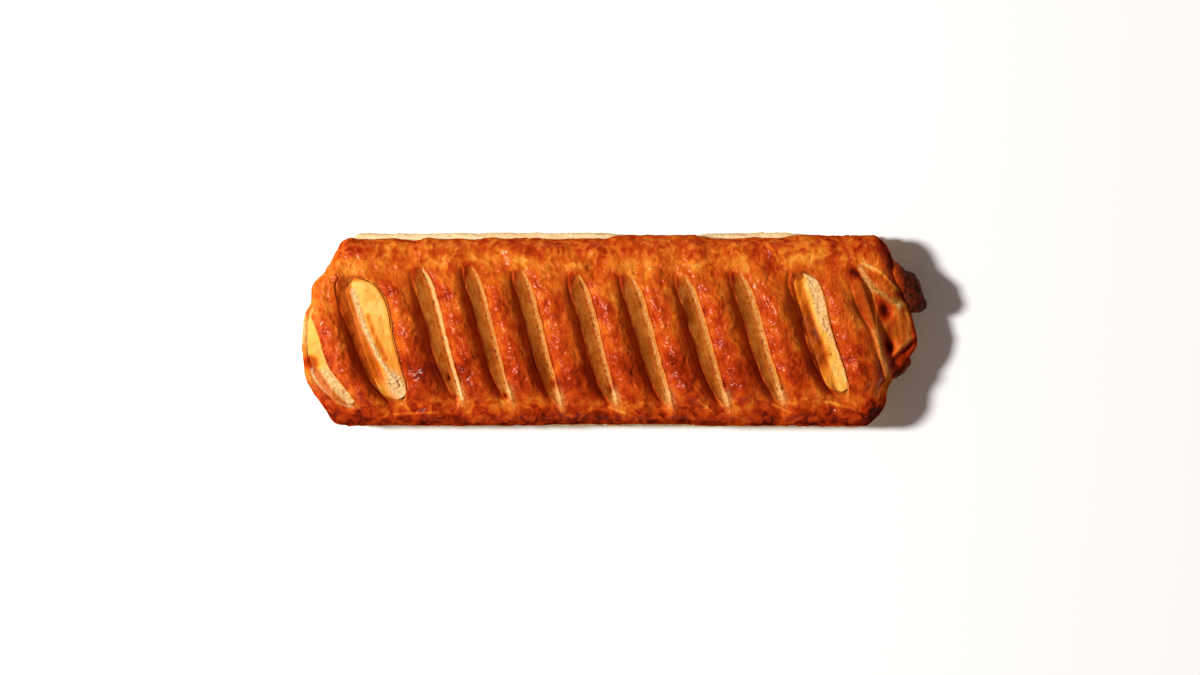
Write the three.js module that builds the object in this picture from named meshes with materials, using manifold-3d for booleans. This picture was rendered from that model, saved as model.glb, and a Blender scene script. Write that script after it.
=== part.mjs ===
// Slashed cheese puff pastry, baked: a flaky base sheet, a slab of cheese filling and a glazed lid whose
// slanted slashes have opened in the oven. Millimetres, +Z up, +X along the pastry, +Y towards its back
// edge. The origin is under the middle of the bounding box, on the surface that the pastry lies on.
import * as THREE from "three";
import { mergeVertices } from "three/addons/utils/BufferGeometryUtils.js";
import Module from "manifold-3d";

const wasm = await Module();
wasm.setup();

// Driving dimensions of the layers
const FRONT_EDGE = -30.6;
const BACK_EDGE = 30.6;
const EDGE_WAVE = 0.35; // how far the long edges wander
const EDGE_WAVE_LENGTH = 17;
const BASE_THICKNESS = 7;
const LAYER_GAP = 0.3; // clearance between two layers of the pastry
// How far each layer stops short of the pastry's outline at its front, back, left and right
const BASE_EDGES = { front: 0, back: 0, left: 0.9, right: 0.9 };
const LID_EDGES = { front: 0.35, back: 0.35, left: 0, right: 0 };
const CAVITY_EDGES = { front: 6.9, back: 6.9, left: 6.5, right: 10.5 };
const CAVITY_TOP = 13.5;

// The lid's crust
const RIM_SHOULDER = 13.6; // where the lid's side turns into its top
const SHOULDER_RADIUS = 5;
const END_STRETCH = 0.85; // the shoulders of the two ends are longer by the inverse of this
const MARGIN_HEIGHT = 19.4; // the lid between the slashes and its edges
const DOME = { height: 1.6, run: 12 }; // extra height along the middle line, and where it starts
const CORNER = { power: 4, least: 0.02 }; // rounds the shoulders where two sides meet
const LUMPS = { size: 6.5, height: 0.9, run: 4 }; // unevenness, and how far from the rim it grows
// A strip between two slashes has puffed up: its height above the crust, the power that gives it a
// broad crown, and its height at its left and right sides as shares of that
const STRIP_PUFF = { height: 3.2, crown: 2.4, left: 1.04, right: 0.94 };
// A strip's puff runs past the slashes' ends by this much, and fades over the second length
const STRIP_FRONT_END = { past: 3.5, fade: 8 };
const STRIP_BACK_END = { past: 3, fade: 9 };
const CUT_LIP = 0.4; // share of the puff at the cut edge on a strip's left side

// The slashes' walls
const CUT_DEPTH = 2.5; // from the crust to a slash's floor
const WIDTH_TAPER = 0.14; // share by which a slash is wider at its back end and narrower at its front end
const FRONT_CURL = 1.7; // how far a slash curls to the right at its front end
const BACK_CURL = 0.7; // and to the left at its back end
const CLOSED_FLOOR = [0.58, 0.68]; // floor of a slash across its width, where its walls nearly meet
const OPEN_FLOOR = [0.3, 0.9]; // and where the filling shows
const BLUNT_BACK = 0.55; // least share of its width that a slash keeps to its back end
const BLUNT_FRONT = 0.42;
const END_ROUNDING = { front: 4, back: 6 }; // the higher, the squarer a slash's end
// Five columns follow a slash, and this is how deep each lies on the way from the crust to the floor
const COLUMN_DEPTHS = [0.1, 0.67, 1, 1, 0];
const PINCHED = { share: 0.2, run: 9 }; // width left where a slash has closed up, and how it gets there

// The leaves at the pastry's sides: how far they stand in and out, how long and how thick they are
const LEAVES = { relief: 0.45, length: 5, thickness: 0.53 };
const BASE_LEAVES = [
  { z: 0, inset: 1.5 },
  { z: 0.7, inset: 0.5 },
  { z: 2.2, inset: 0.15 },
  { z: 3.9, inset: 0.5 },
  { z: 5.4, inset: 0.1 },
  { z: 6.6, inset: 0.4 },
  { z: BASE_THICKNESS, inset: 1.3 },
];
const LID_LEAVES = [0, 0.32, 0.68]; // heights up the lid's side, as shares of it

// Stretches of the two long edges where the lid has drawn back and the base sheet shows
const BACK_LEDGES = [
  { from: -88, to: 2, depth: 1.2 },
  { from: 25, to: 60, depth: 0.9 },
];
const FRONT_LEDGES = [{ from: -24, to: 28, depth: 0.5 }];
const LEDGE_FADE = 6;
const LEDGE_RAGGED = 0.35;

// The slashes from left to right: x half way along, width between the crust's edges, y of the front and
// back ends, lean (x per y), a front curl and a depth of its own, the y below which it has closed up, and
// how far below the crust the filling that has risen into it stays at its left and right.
const SLASHES = [
  { x: -95.4, width: 6.2, front: -25.0, back: 7.6, lean: 0.3, curl: 8, depth: 2.6, risen: [2.2, 0.5] },
  { x: -77.0, width: 13.0, front: -23.4, back: 17.6, lean: 0.32, depth: 3.0, risen: [2.6, 0.4] },
  { x: -56.6, width: 5.8, front: -22.0, back: 20.2, lean: 0.26 },
  { x: -40.8, width: 5.0, front: -22.3, back: 20.8, lean: 0.25 },
  { x: -25.0, width: 5.0, front: -24.0, back: 19.4, lean: 0.25 },
  { x: -7.3, width: 5.4, front: -23.4, back: 18.0, lean: 0.25 },
  { x: 9.6, width: 5.7, front: -23.8, back: 17.8, lean: 0.27 },
  { x: 27.3, width: 5.3, front: -24.0, back: 17.6, lean: 0.29 },
  { x: 44.8, width: 5.3, front: -22.8, back: 18.6, lean: 0.29 },
  { x: 65.0, width: 10.0, front: -21.0, back: 19.0, lean: 0.28, depth: 2.8, risen: [2.4, 0.5] },
  { x: 82.0, width: 5.8, front: -19.0, back: 20.2, lean: 0.286, curl: 0.4, depth: 0.6, pinch: -1 },
];

// The two torn ends as points (x, y) from front to back
const LEFT_END = [
  [-86.2, -30.6],
  [-90.2, -29.0],
  [-92.6, -25.4],
  [-96.6, -19.6],
  [-99.0, -14.6],
  [-100.0, -5.0],
  [-99.4, 4.0],
  [-97.2, 9.0],
  [-96.8, 14.2],
  [-92.8, 18.8],
  [-89.2, 25.2],
  [-87.0, 28.8],
  [-83.4, 30.6],
];
const RIGHT_END = [
  [79.6, -30.6],
  [83.0, -28.0],
  [86.0, -24.0],
  [87.0, -18.4],
  [89.4, -14.4],
  [93.0, -10.0],
  [96.4, -4.0],
  [95.4, 2.0],
  [94.6, 5.2],
  [92.0, 11.0],
  [90.0, 17.0],
  [88.4, 23.0],
  [86.2, 27.6],
  [82.6, 30.6],
];

// The end flap right of the last slash has sunk, below a line that slants from the slash's back end
const SUNK_END = { drop: 2.8, rimShare: 0.5, step: 3 };
const SUNK_END_LINE = [
  [77.3, 20.4],
  [88.8, 8.4],
];

// Dents in that flap: two pockets and the fold between its lobes. Each is centre, half length, half
// width, turn and depth.
const FLAP_DENTS = [
  { at: [86.8, 6.2], size: [2.8, 1.9], turn: 1.2, depth: 2.4 },
  { at: [87.6, -5.4], size: [3.2, 1.8], turn: 1.2, depth: 2.2 },
  { at: [92.0, -7.0], size: [5.6, 1.2], turn: 0.76, depth: 1.8 },
];

// Cheese that ran out of the right end and burnt: centre and radii of each lump
const LEAK_LUMPS = [
  { at: [91.2, 16.8, 12.0], size: [7.4, 3.7, 4.6], turn: -0.93 },
  { at: [95.2, 10.4, 10.0], size: [5.0, 3.9, 5.0], turn: -0.9 },
  { at: [97.6, 8.5, 8.4], size: [2.4, 2.7, 3.2], turn: 0 },
  { at: [91.0, -11.6, 8.0], size: [5.0, 2.5, 3.6], turn: 0.8 },
];
const LEAK_TONGUES = [
  { at: [88.6, 10.0, 10.4], size: [8.0, 3.0, 2.0], turn: 0.1 },
  { at: [87.6, -8.8, 9.8], size: [7.0, 2.6, 1.6], turn: 0.2 },
];
const LEAKS = [...LEAK_LUMPS, ...LEAK_TONGUES];
const LEAK_ROUGHNESS = { height: 0.14, grain: 2.4 };
const UP = new THREE.Vector3(0, 0, 1);

// Filling that has risen stops short of its slash's ends, narrows there and is rounded at its top
const RISEN_ENDS = { front: 3.2, back: 2.4, narrowing: 0.45 };
const RISEN_FOOT = 2; // above the base sheet, inside the slab
const RISEN_SECTION = [
  { lift: 0, spread: 1 },
  { lift: 0.92, spread: 1.04 },
  { lift: 1, spread: 0.82 },
];
const LEAST_RISEN = 0.4; // least half width

// Mesh density
const ROWS = 27;
const ROW_CROWDING = 0.045; // rows lie closer near the long edges
const STRIP_COLUMNS = [0.12, 0.36, 0.64, 0.86];
const COLUMNS_PER_SLASH = COLUMN_DEPTHS.length;
const LEAST_STRIP = 1.6; // least distance between two slashes' columns where they run out at an end
const LEAST_COLUMN = 0.25;
const OUTLINE_STEPS = { sides: 60, ends: 24 };
const BASE_POINTS = 104;
const SLAB_POINTS = 72;
const RISEN_STEPS = 12;
const LUMP_DETAIL = 2;
const SAME_POINT = 1e-4;
const SLIVER = 0.02; // cutting leaves slivers under this size

const OPEN_SLASHES = SLASHES.filter((slash) => slash.risen);

// Small maths helpers
const clamp01 = (v) => Math.min(1, Math.max(0, v));
const mix = (a, b, share) => a + (b - a) * share;
const smooth = (v) => clamp01(v) ** 2 * (3 - 2 * clamp01(v));

// A repeatable random value for a lattice point, from 0 to 1
function latticeValue(i, j, k) {
  const wave = Math.sin(i * 127.1 + j * 311.7 + k * 74.7) * 43758.5453;
  return wave - Math.floor(wave);
}

// Smooth noise from -1 to 1
function lumpNoise(x, y, z) {
  const [i, j, k] = [x, y, z].map(Math.floor);
  const [u, v, w] = [smooth(x - i), smooth(y - j), smooth(z - k)];
  const corner = (a, b, c) => latticeValue(i + a, j + b, k + c);
  const layer = (c) =>
    mix(
      mix(corner(0, 0, c), corner(1, 0, c), u),
      mix(corner(0, 1, c), corner(1, 1, c), u),
      v,
    );
  return 2 * mix(layer(0), layer(1), w) - 1;
}

// Turns the points of an end into x as a function of y
function endProfile(points) {
  const curve = new THREE.SplineCurve(
    points.map(([x, y]) => new THREE.Vector2(x, y)),
  );
  const samples = curve.getPoints(OUTLINE_STEPS.ends * points.length);
  return (y) => {
    const next = samples.findIndex((p) => p.y >= y);
    if (next < 0) return samples.at(-1).x;
    if (next === 0) return samples[0].x;
    const [a, b] = [samples[next - 1], samples[next]];
    return mix(a.x, b.x, (y - a.y) / Math.max(SAME_POINT, b.y - a.y));
  };
}
const leftEnd = endProfile(LEFT_END);
const rightEnd = endProfile(RIGHT_END);
const edgeWander = (x, side) => EDGE_WAVE * lumpNoise(x / EDGE_WAVE_LENGTH, 3.7 * side, 0.5);

function ledgeDepth(x, ledges) {
  const depths = ledges.map(({ from, to, depth }) => {
    const inside = Math.min(x - from, to - x);
    const ragged = 1 + LEDGE_RAGGED * lumpNoise(x / LEAVES.length, depth, 2.5);
    return depth * ragged * smooth(inside / LEDGE_FADE);
  });
  return Math.max(...depths);
}

// The slashes
const slashMiddle = (slash) => (slash.front + slash.back) / 2;

function slashCentre(slash, y) {
  const reach = THREE.MathUtils.clamp(slashReach(slash, y), -1, 1);
  const curl = reach < 0 ? (slash.curl ?? FRONT_CURL) : BACK_CURL;
  return slash.x - slash.lean * (y - slashMiddle(slash)) - curl * reach ** 3;
}

// Position along a slash, from -1 at its front end to 1 at its back end
const slashReach = (slash, y) =>
  (y - slashMiddle(slash)) / ((slash.back - slash.front) / 2);

// A slash keeps its width nearly to its blunt back end and tapers towards its front end
function slashHalfWidth(slash, y) {
  const reach = THREE.MathUtils.clamp(slashReach(slash, y), -1, 1);
  const front = Math.max(BLUNT_FRONT, Math.sqrt(1 - Math.abs(reach) ** END_ROUNDING.front));
  const back = Math.max(BLUNT_BACK, Math.sqrt(1 - Math.abs(reach) ** END_ROUNDING.back));
  const open = mix(PINCHED.share, 1, smooth((y - (slash.pinch ?? -Infinity)) / PINCHED.run));
  return (slash.width / 2) * (1 + WIDTH_TAPER * reach) * open * (reach < 0 ? front : back);
}

// The lid's columns follow five curves a slash: its left edge, half way down that wall, the two sides
// of its floor, and its right edge
function slashKeys(slash, y) {
  const wide = 2 * slashHalfWidth(slash, y);
  const left = slashCentre(slash, y) - wide / 2;
  const [floorStart, floorEnd] = slash.risen ? OPEN_FLOOR : CLOSED_FLOOR;
  const shares = [0, 0.5 * floorStart, floorStart, floorEnd, 1];
  return shares.map((share) => left + share * wide);
}

// Those curves of every slash where they cross one row, kept in order and inside the two ends
function rowKeys(y) {
  const keys = SLASHES.flatMap((slash) => slashKeys(slash, y));
  const gapBefore = (n) => (n % COLUMNS_PER_SLASH === 0 ? LEAST_STRIP : LEAST_COLUMN);
  let limit = leftEnd(y) + LID_EDGES.left;
  for (let n = 0; n < keys.length; n++) {
    keys[n] = Math.max(keys[n], limit + gapBefore(n));
    limit = keys[n];
  }
  limit = rightEnd(y) - LID_EDGES.right;
  for (let n = keys.length - 1; n >= 0; n--) {
    keys[n] = Math.min(keys[n], limit - gapBefore(n + 1));
    limit = keys[n];
  }
  return SLASHES.map((_, n) => keys.slice(COLUMNS_PER_SLASH * n, COLUMNS_PER_SLASH * (n + 1)));
}

// How far the crust has dropped where the end flap sank
function sunkEnd(x, y) {
  const [[fromX, fromY], [toX, toY]] = SUNK_END_LINE;
  const line = THREE.MathUtils.mapLinear(Math.min(x, toX), fromX, toX, fromY, toY);
  const tear = slashCentre(SLASHES.at(-1), y);
  const { drop, step } = SUNK_END;
  return drop * smooth((x - tear) / step) * smooth((line - y) / step);
}

function flapDent(x, y) {
  const dents = FLAP_DENTS.map(({ at, size, turn, depth }) => {
    const [dx, dy] = [x - at[0], y - at[1]];
    const along = (dx * Math.cos(turn) + dy * Math.sin(turn)) / size[0];
    const across = (dy * Math.cos(turn) - dx * Math.sin(turn)) / size[1];
    return depth * Math.exp(-(along ** 2) - across ** 2);
  });
  return Math.max(...dents);
}

// Height of the crust itself, with no slash in it
function crustHeight(x, y) {
  const inLeft = (x - leftEnd(y) - LID_EDGES.left) * END_STRETCH;
  const inRight = (rightEnd(y) - LID_EDGES.right - x) * END_STRETCH;
  const inFront = y - FRONT_EDGE - LID_EDGES.front;
  const inBack = BACK_EDGE - LID_EDGES.back - y;
  const inside = [inLeft, inRight, inFront, inBack]
    .map((side) => Math.max(side, CORNER.least) ** -CORNER.power)
    .reduce((sum, part) => sum + part) ** (-1 / CORNER.power);
  const turn = 1 - clamp01(inside / SHOULDER_RADIUS);
  const shoulder = mix(RIM_SHOULDER, MARGIN_HEIGHT, Math.sqrt(1 - turn ** 2));
  const dome = DOME.height * (1 - (y / BACK_EDGE) ** 2) * smooth(inside / DOME.run);
  const sinking = mix(SUNK_END.rimShare, 1, smooth((2 * inside) / LUMPS.run));
  const sunk = (sunkEnd(x, y) + flapDent(x, y)) * sinking;
  const lump = LUMPS.height * lumpNoise(x / LUMPS.size, y / LUMPS.size, 7.3);
  return shoulder + dome - sunk + lump * smooth(inside / LUMPS.run);
}

// Height of a strip above the crust, across its width (0 to 1) and along its length
function stripBulge(across, y, left, right) {
  const fromFront = y - Math.max(left.front, right.front) + STRIP_FRONT_END.past;
  const fromBack = Math.min(left.back, right.back) + STRIP_BACK_END.past - y;
  const along = smooth(fromFront / STRIP_FRONT_END.fade) * smooth(fromBack / STRIP_BACK_END.fade);
  const { height, crown, left: atLeft, right: atRight } = STRIP_PUFF;
  const round = (1 - Math.abs(2 * across - 1) ** crown) * mix(atLeft, atRight, across);
  return height * along * Math.max(round, CUT_LIP * (1 - across) ** 3);
}

// One row across the lid's top: the x and z of every column
function lidRow(y) {
  const ends = [leftEnd(y) + LID_EDGES.left, rightEnd(y) - LID_EDGES.right];
  const keys = rowKeys(y);
  const row = [];
  for (let band = 0; band <= SLASHES.length; band++) {
    const [before, after] = [SLASHES[band - 1], SLASHES[band]];
    const from = before ? keys[band - 1].at(-1) : ends[0];
    const to = after ? keys[band][0] : ends[1];
    const shares = [...(before ? [] : [0]), ...STRIP_COLUMNS, ...(after ? [] : [1])];
    for (const share of shares) {
      const x = mix(from, to, share);
      const bulge = before && after ? stripBulge(share, y, before, after) : 0;
      row.push([x, crustHeight(x, y) + bulge]);
    }
    if (!after) continue;
    const opening = 1 - Math.min(1, Math.abs(slashReach(after, y))) ** 7;
    const cut = after.depth ?? CUT_DEPTH;
    keys[band].forEach((x, n) => {
      const onLeftWall = n < 2;
      const [left, right] = onLeftWall ? [before, after] : [after, SLASHES[band + 1]];
      const bulge = left && right ? stripBulge(onLeftWall ? 1 : 0, y, left, right) : 0;
      row.push([x, crustHeight(x, y) + mix(bulge, -cut, COLUMN_DEPTHS[n] * opening)]);
    });
  }
  return row;
}

// Closes a shape: side walls between rings of equal length, flat caps on the ends that have no grid
function closedGeometry(rings, topGrid) {
  const positions = [];
  const triangles = [];
  const add = ([x, y, z]) => positions.push(x, y, z) / 3 - 1;
  const ringIds = rings.map((ring) => ring.map(add));
  const count = rings[0].length;
  for (let level = 0; level + 1 < rings.length; level++) {
    for (let n = 0; n < count; n++) {
      const next = (n + 1) % count;
      const [a, b] = [ringIds[level][n], ringIds[level][next]];
      const [c, d] = [ringIds[level + 1][n], ringIds[level + 1][next]];
      triangles.push([a, b, d], [a, d, c]);
    }
  }
  const cap = (ring, ids, upwards) => {
    const outline = ring.map(([x, y]) => new THREE.Vector2(x, y));
    for (const [a, b, c] of THREE.ShapeUtils.triangulateShape(outline, []))
      triangles.push(upwards ? [ids[a], ids[b], ids[c]] : [ids[a], ids[c], ids[b]]);
  };
  cap(rings[0], ringIds[0], false);
  if (topGrid) {
    const ids = topGrid.map((row) => row.map(add));
    for (let j = 0; j + 1 < ids.length; j++) {
      for (let i = 0; i + 1 < ids[j].length; i++) {
        const [a, b, c, d] = [ids[j][i], ids[j][i + 1], ids[j + 1][i + 1], ids[j + 1][i]];
        triangles.push([a, b, c], [a, c, d]);
      }
    }
  } else {
    cap(rings.at(-1), ringIds.at(-1), true);
  }
  const geometry = new THREE.BufferGeometry();
  geometry.setAttribute("position", new THREE.Float32BufferAttribute(positions, 3));
  geometry.setIndex(triangles.flat());
  return mergeVertices(geometry, SAME_POINT);
}

// To and from solids that can be cut and joined
function solidFrom(geometry) {
  const bare = geometry.clone();
  bare.deleteAttribute("normal");
  bare.deleteAttribute("uv");
  const merged = mergeVertices(bare, SAME_POINT);
  return new wasm.Manifold(
    new wasm.Mesh({
      numProp: 3,
      vertProperties: new Float32Array(merged.attributes.position.array),
      triVerts: new Uint32Array(merged.index.array),
    }),
  );
}

function bareGeometry(solid) {
  const mesh = solid.getMesh();
  const geometry = new THREE.BufferGeometry();
  geometry.setAttribute(
    "position",
    new THREE.BufferAttribute(new Float32Array(mesh.vertProperties), 3),
  );
  geometry.setIndex(new THREE.BufferAttribute(new Uint32Array(mesh.triVerts), 1));
  return geometry;
}

// The outline of the pastry, drawn in by the given edges and an inset, counter-clockwise
function outline(edges, inset, count) {
  const corners = [];
  const { sides: sideSteps, ends: endSteps } = OUTLINE_STEPS;
  const front = FRONT_EDGE + edges.front + inset;
  const back = BACK_EDGE - edges.back - inset;
  const start = (y) => leftEnd(y) + edges.left + inset;
  const end = (y) => rightEnd(y) - edges.right - inset;
  for (let n = 0; n < sideSteps; n++) {
    const x = mix(start(front), end(front), n / sideSteps);
    corners.push([x, front + edgeWander(x, 1)]);
  }
  for (let n = 0; n < endSteps; n++) {
    const y = mix(front, back, n / endSteps);
    corners.push([end(y), y]);
  }
  for (let n = 0; n < sideSteps; n++) {
    const x = mix(end(back), start(back), n / sideSteps);
    corners.push([x, back + edgeWander(x, -1)]);
  }
  for (let n = 0; n < endSteps; n++) {
    const y = mix(back, front, n / endSteps);
    corners.push([start(y), y]);
  }
  const loop = new THREE.Path(corners.map(([x, y]) => new THREE.Vector2(x, y)));
  loop.closePath();
  return loop.getSpacedPoints(count).slice(0, count).map((p) => [p.x, p.y]);
}

// Pushes a ring in and out the way torn leaves of pastry lie
function leafyRing(ring, z) {
  return ring.map(([x, y], n) => {
    const before = ring.at(n - 1);
    const after = ring[(n + 1) % ring.length];
    const away = new THREE.Vector2(after[1] - before[1], before[0] - after[0]).normalize();
    const { relief, length, thickness } = LEAVES;
    const push = relief * lumpNoise(x / length, y / length, z / thickness);
    return [x + away.x * push, y + away.y * push, z];
  });
}

// The base sheet, with the leaves of its cut sides
function baseSheet() {
  return closedGeometry(
    BASE_LEAVES.map(({ z, inset }) => leafyRing(outline(BASE_EDGES, inset, BASE_POINTS), z)),
  );
}

// A lump of cheese, an uneven ball
function cheeseLump({ at, size, turn }, grow = 0) {
  const ball = new THREE.IcosahedronGeometry(1, LUMP_DETAIL);
  ball.deleteAttribute("normal");
  ball.deleteAttribute("uv");
  const shape = mergeVertices(ball, SAME_POINT);
  const spots = shape.attributes.position;
  const direction = new THREE.Vector3();
  for (let n = 0; n < spots.count; n++) {
    direction.fromBufferAttribute(spots, n);
    const spot = direction.clone().multiplyScalar(LEAK_ROUGHNESS.grain).addScalar(at[1]);
    const rough = 1 + LEAK_ROUGHNESS.height * lumpNoise(...spot);
    direction.multiply(new THREE.Vector3(...size)).multiplyScalar(rough);
    direction.setLength(direction.length() + grow).applyAxisAngle(UP, turn);
    spots.setXYZ(n, direction.x + at[0], direction.y + at[1], direction.z + at[2]);
  }
  return solidFrom(shape);
}

// The filling where it has risen into an open slash: a ramp from the foot of the left wall up to the
// right crust edge
function risenCheese(slash, grow = 0) {
  const [leftDrop, rightDrop] = slash.risen;
  const foot = BASE_THICKNESS + RISEN_FOOT - grow;
  const front = slash.front + RISEN_ENDS.front - grow;
  const back = slash.back - RISEN_ENDS.back + grow;
  const ringAt = ({ lift, spread }) => {
    const left = [];
    const right = [];
    for (let n = 0; n <= RISEN_STEPS; n++) {
      const y = mix(front, back, n / RISEN_STEPS);
      const [, , floorStart, floorEnd] = rowKeys(y)[SLASHES.indexOf(slash)];
      const middle = (floorStart + floorEnd) / 2;
      const half = Math.max(LEAST_RISEN, (floorEnd - floorStart) / 2) * spread + grow;
      const taper = 1 - RISEN_ENDS.narrowing * Math.abs((2 * n) / RISEN_STEPS - 1) ** 7;
      const point = (x, drop) => [x, y, mix(foot, crustHeight(x, y) - drop + grow, lift)];
      left.unshift(point(middle - half * taper, leftDrop));
      right.push(point(middle + half * taper, rightDrop));
    }
    return [...right, ...left];
  };
  const rings = RISEN_SECTION.map(ringAt);
  const top = rings.at(-1);
  const rows = top.slice(0, RISEN_STEPS + 1).map((rightPoint, n) => [top.at(-1 - n), rightPoint]);
  return solidFrom(closedGeometry(rings, rows));
}

// A flat slab with the outline of the filling
function slab(inset, bottom, top) {
  const edge = outline(CAVITY_EDGES, inset, SLAB_POINTS);
  return solidFrom(closedGeometry([bottom, top].map((z) => edge.map(([x, y]) => [x, y, z]))));
}

// The filling: a slab between the sheets, with what rose into the slashes and what ran out
function cheeseFilling() {
  let filling = slab(LAYER_GAP, BASE_THICKNESS + LAYER_GAP, CAVITY_TOP - LAYER_GAP);
  for (const slash of OPEN_SLASHES) filling = filling.add(risenCheese(slash));
  for (const leak of LEAKS) filling = filling.add(cheeseLump(leak));
  return filling;
}

// The rows of the lid's top, from its front edge to its back edge
function lidTop() {
  const rows = [];
  for (let n = 0; n < ROWS; n++) {
    const even = n / (ROWS - 1);
    const share = even - ROW_CROWDING * Math.sin(2 * Math.PI * even);
    const towardsEdge = Math.abs(2 * share - 1) ** 6;
    const y = mix(FRONT_EDGE + LID_EDGES.front, BACK_EDGE - LID_EDGES.back, share);
    const edgeShift = (x) =>
      share < 0.5
        ? edgeWander(x, 1) + ledgeDepth(x, FRONT_LEDGES)
        : edgeWander(x, -1) - ledgeDepth(x, BACK_LEDGES);
    rows.push(lidRow(y).map(([x, z]) => [x, y + edgeShift(x) * towardsEdge, z]));
  }
  return rows;
}

// The lid: strips and slashes on top, layered sides, and a cavity below for the filling
function slashedLid() {
  const top = lidTop();
  const inner = top.slice(1, -1);
  const rim = [
    ...top[0],
    ...inner.map((row) => row.at(-1)),
    ...top.at(-1).toReversed(),
    ...inner.map((row) => row[0]).toReversed(),
  ];
  const bottom = BASE_THICKNESS + LAYER_GAP;
  const sides = LID_LEAVES.map((share) =>
    leafyRing(rim, mix(bottom, RIM_SHOULDER, share)).map(([x, y], n) => [
      x,
      y,
      mix(bottom, rim[n][2], share),
    ]),
  );
  let lid = solidFrom(closedGeometry([...sides, rim], top));
  lid = lid.subtract(slab(0, bottom - LAYER_GAP, CAVITY_TOP));
  for (const leak of LEAKS) lid = lid.subtract(cheeseLump(leak, LAYER_GAP));
  for (const slash of OPEN_SLASHES) lid = lid.subtract(risenCheese(slash, LAYER_GAP));
  return lid;
}

// Materials
const PALE_LEAVES = new THREE.MeshStandardMaterial({
  color: "#e9bd7e",
  roughness: 0.8,
  metalness: 0,
});
const MELTED_CHEESE = new THREE.MeshStandardMaterial({
  color: "#f2b04a",
  roughness: 0.4,
  metalness: 0,
});
const GLAZED_CRUST = new THREE.MeshStandardMaterial({
  color: "#bb541c",
  roughness: 0.35,
  metalness: 0,
});

function namedMesh(name, solid, material) {
  const geometry = bareGeometry(solid);
  geometry.computeVertexNormals();
  const mesh = new THREE.Mesh(geometry, material);
  mesh.name = name;
  return mesh;
}

function largestBody(solid) {
  return solid
    .decompose()
    .reduce((best, body) => (body.volume() > best.volume() ? body : best));
}

// Cutting leaves slivers and loose scraps: smooths the first away and drops the others
const tidied = (solid) => largestBody(solid.simplify(SLIVER));

const base = LEAKS.reduce(
  (body, leak) => body.subtract(cheeseLump(leak, LAYER_GAP)),
  solidFrom(baseSheet()),
);

const pastry = new THREE.Group();
pastry.name = "cheese_puff_pastry";
pastry.add(
  namedMesh("base_sheet", tidied(base), PALE_LEAVES),
  namedMesh("cheese_filling", tidied(cheeseFilling()), MELTED_CHEESE),
  namedMesh("slashed_lid", tidied(slashedLid()), GLAZED_CRUST),
);

export default pastry;
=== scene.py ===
from functools import partial

import bpy
import numpy as np
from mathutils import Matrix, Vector


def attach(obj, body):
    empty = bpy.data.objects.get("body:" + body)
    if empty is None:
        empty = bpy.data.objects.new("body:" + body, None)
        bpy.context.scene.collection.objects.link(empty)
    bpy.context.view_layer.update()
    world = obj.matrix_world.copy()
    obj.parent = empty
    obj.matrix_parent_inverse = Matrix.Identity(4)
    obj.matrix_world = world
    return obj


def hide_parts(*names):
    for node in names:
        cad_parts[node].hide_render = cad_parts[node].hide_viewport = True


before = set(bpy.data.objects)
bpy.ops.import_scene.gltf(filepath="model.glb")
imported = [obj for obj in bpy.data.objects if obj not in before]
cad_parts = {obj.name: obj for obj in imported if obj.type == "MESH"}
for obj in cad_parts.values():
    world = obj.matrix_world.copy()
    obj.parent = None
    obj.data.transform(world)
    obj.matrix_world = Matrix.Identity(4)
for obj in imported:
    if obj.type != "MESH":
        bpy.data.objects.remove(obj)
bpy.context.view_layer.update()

mm = 0.001  # shapes are worked out in millimetres and stored in metres
random = np.random.default_rng(11)


# small maths helpers
def mix(a, b, share):
    return a + (b - a) * share


def smooth(v):
    v = np.clip(v, 0, 1)
    return v * v * (3 - 2 * v)


# 0 up to a start and smoothly up to 1 over a run after it; a negative run goes the other way
def ease(v, start, run):
    return smooth((v - start) / run)


def latticeValue(i, j, k):
    wave = np.sin(i * 127.1 + j * 311.7 + k * 74.7) * 43758.5453
    return wave - np.floor(wave)


# smooth noise from -1 to 1, the one that shapes the solids
def lumpNoise(x, y, z):
    x, y, z = np.broadcast_arrays(np.asarray(x, float), y, z)
    i, j, k = np.floor(x), np.floor(y), np.floor(z)
    u, v, w = smooth(x - i), smooth(y - j), smooth(z - k)

    def layer(c):
        low = mix(latticeValue(i, j, k + c), latticeValue(i + 1, j, k + c), u)
        high = mix(latticeValue(i, j + 1, k + c), latticeValue(i + 1, j + 1, k + c), u)
        return mix(low, high, v)

    return 2 * mix(layer(0), layer(1), w) - 1


slopeCount = 512
slopeTable = random.normal(size=(slopeCount, 3))
slopeTable /= np.linalg.norm(slopeTable, axis=1)[:, None]
slopeOrder = random.permutation(slopeCount)


# finer noise for crust, leaves and cheese, about -1 to 1
def grain(x, y, z):
    place = np.broadcast_arrays(np.asarray(x, float), y, z)
    cell = [np.floor(p).astype(int) for p in place]
    away = [p - c for p, c in zip(place, cell)]
    fade = [f * f * f * (f * (f * 6 - 15) + 10) for f in away]
    total = np.zeros(place[0].shape)
    for corner in np.ndindex(2, 2, 2):
        at, weight = 0, 1
        for c, f, side in zip(cell, fade, corner):
            at = slopeOrder[(at + c + side) % slopeCount]
            weight = weight * (f if side else 1 - f)
        total += weight * sum(slopeTable[at][..., n] * (away[n] - corner[n]) for n in range(3))
    return 1.5 * total


# 1 along the creases of the noise and less beside them, for wrinkles
def ridges(x, y, z):
    return (1 - np.minimum(1, 1.8 * np.abs(grain(x, y, z)))) ** 2


# 1 at a place, fading out over the size given along and across a turned direction
def softSpot(x, y, at, size, turn=0.0):
    dx, dy = x - at[0], y - at[1]
    along = (dx * np.cos(turn) + dy * np.sin(turn)) / size[0]
    across = (dy * np.cos(turn) - dx * np.sin(turn)) / size[1]
    return np.exp(-(along**2) - across**2)


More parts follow.
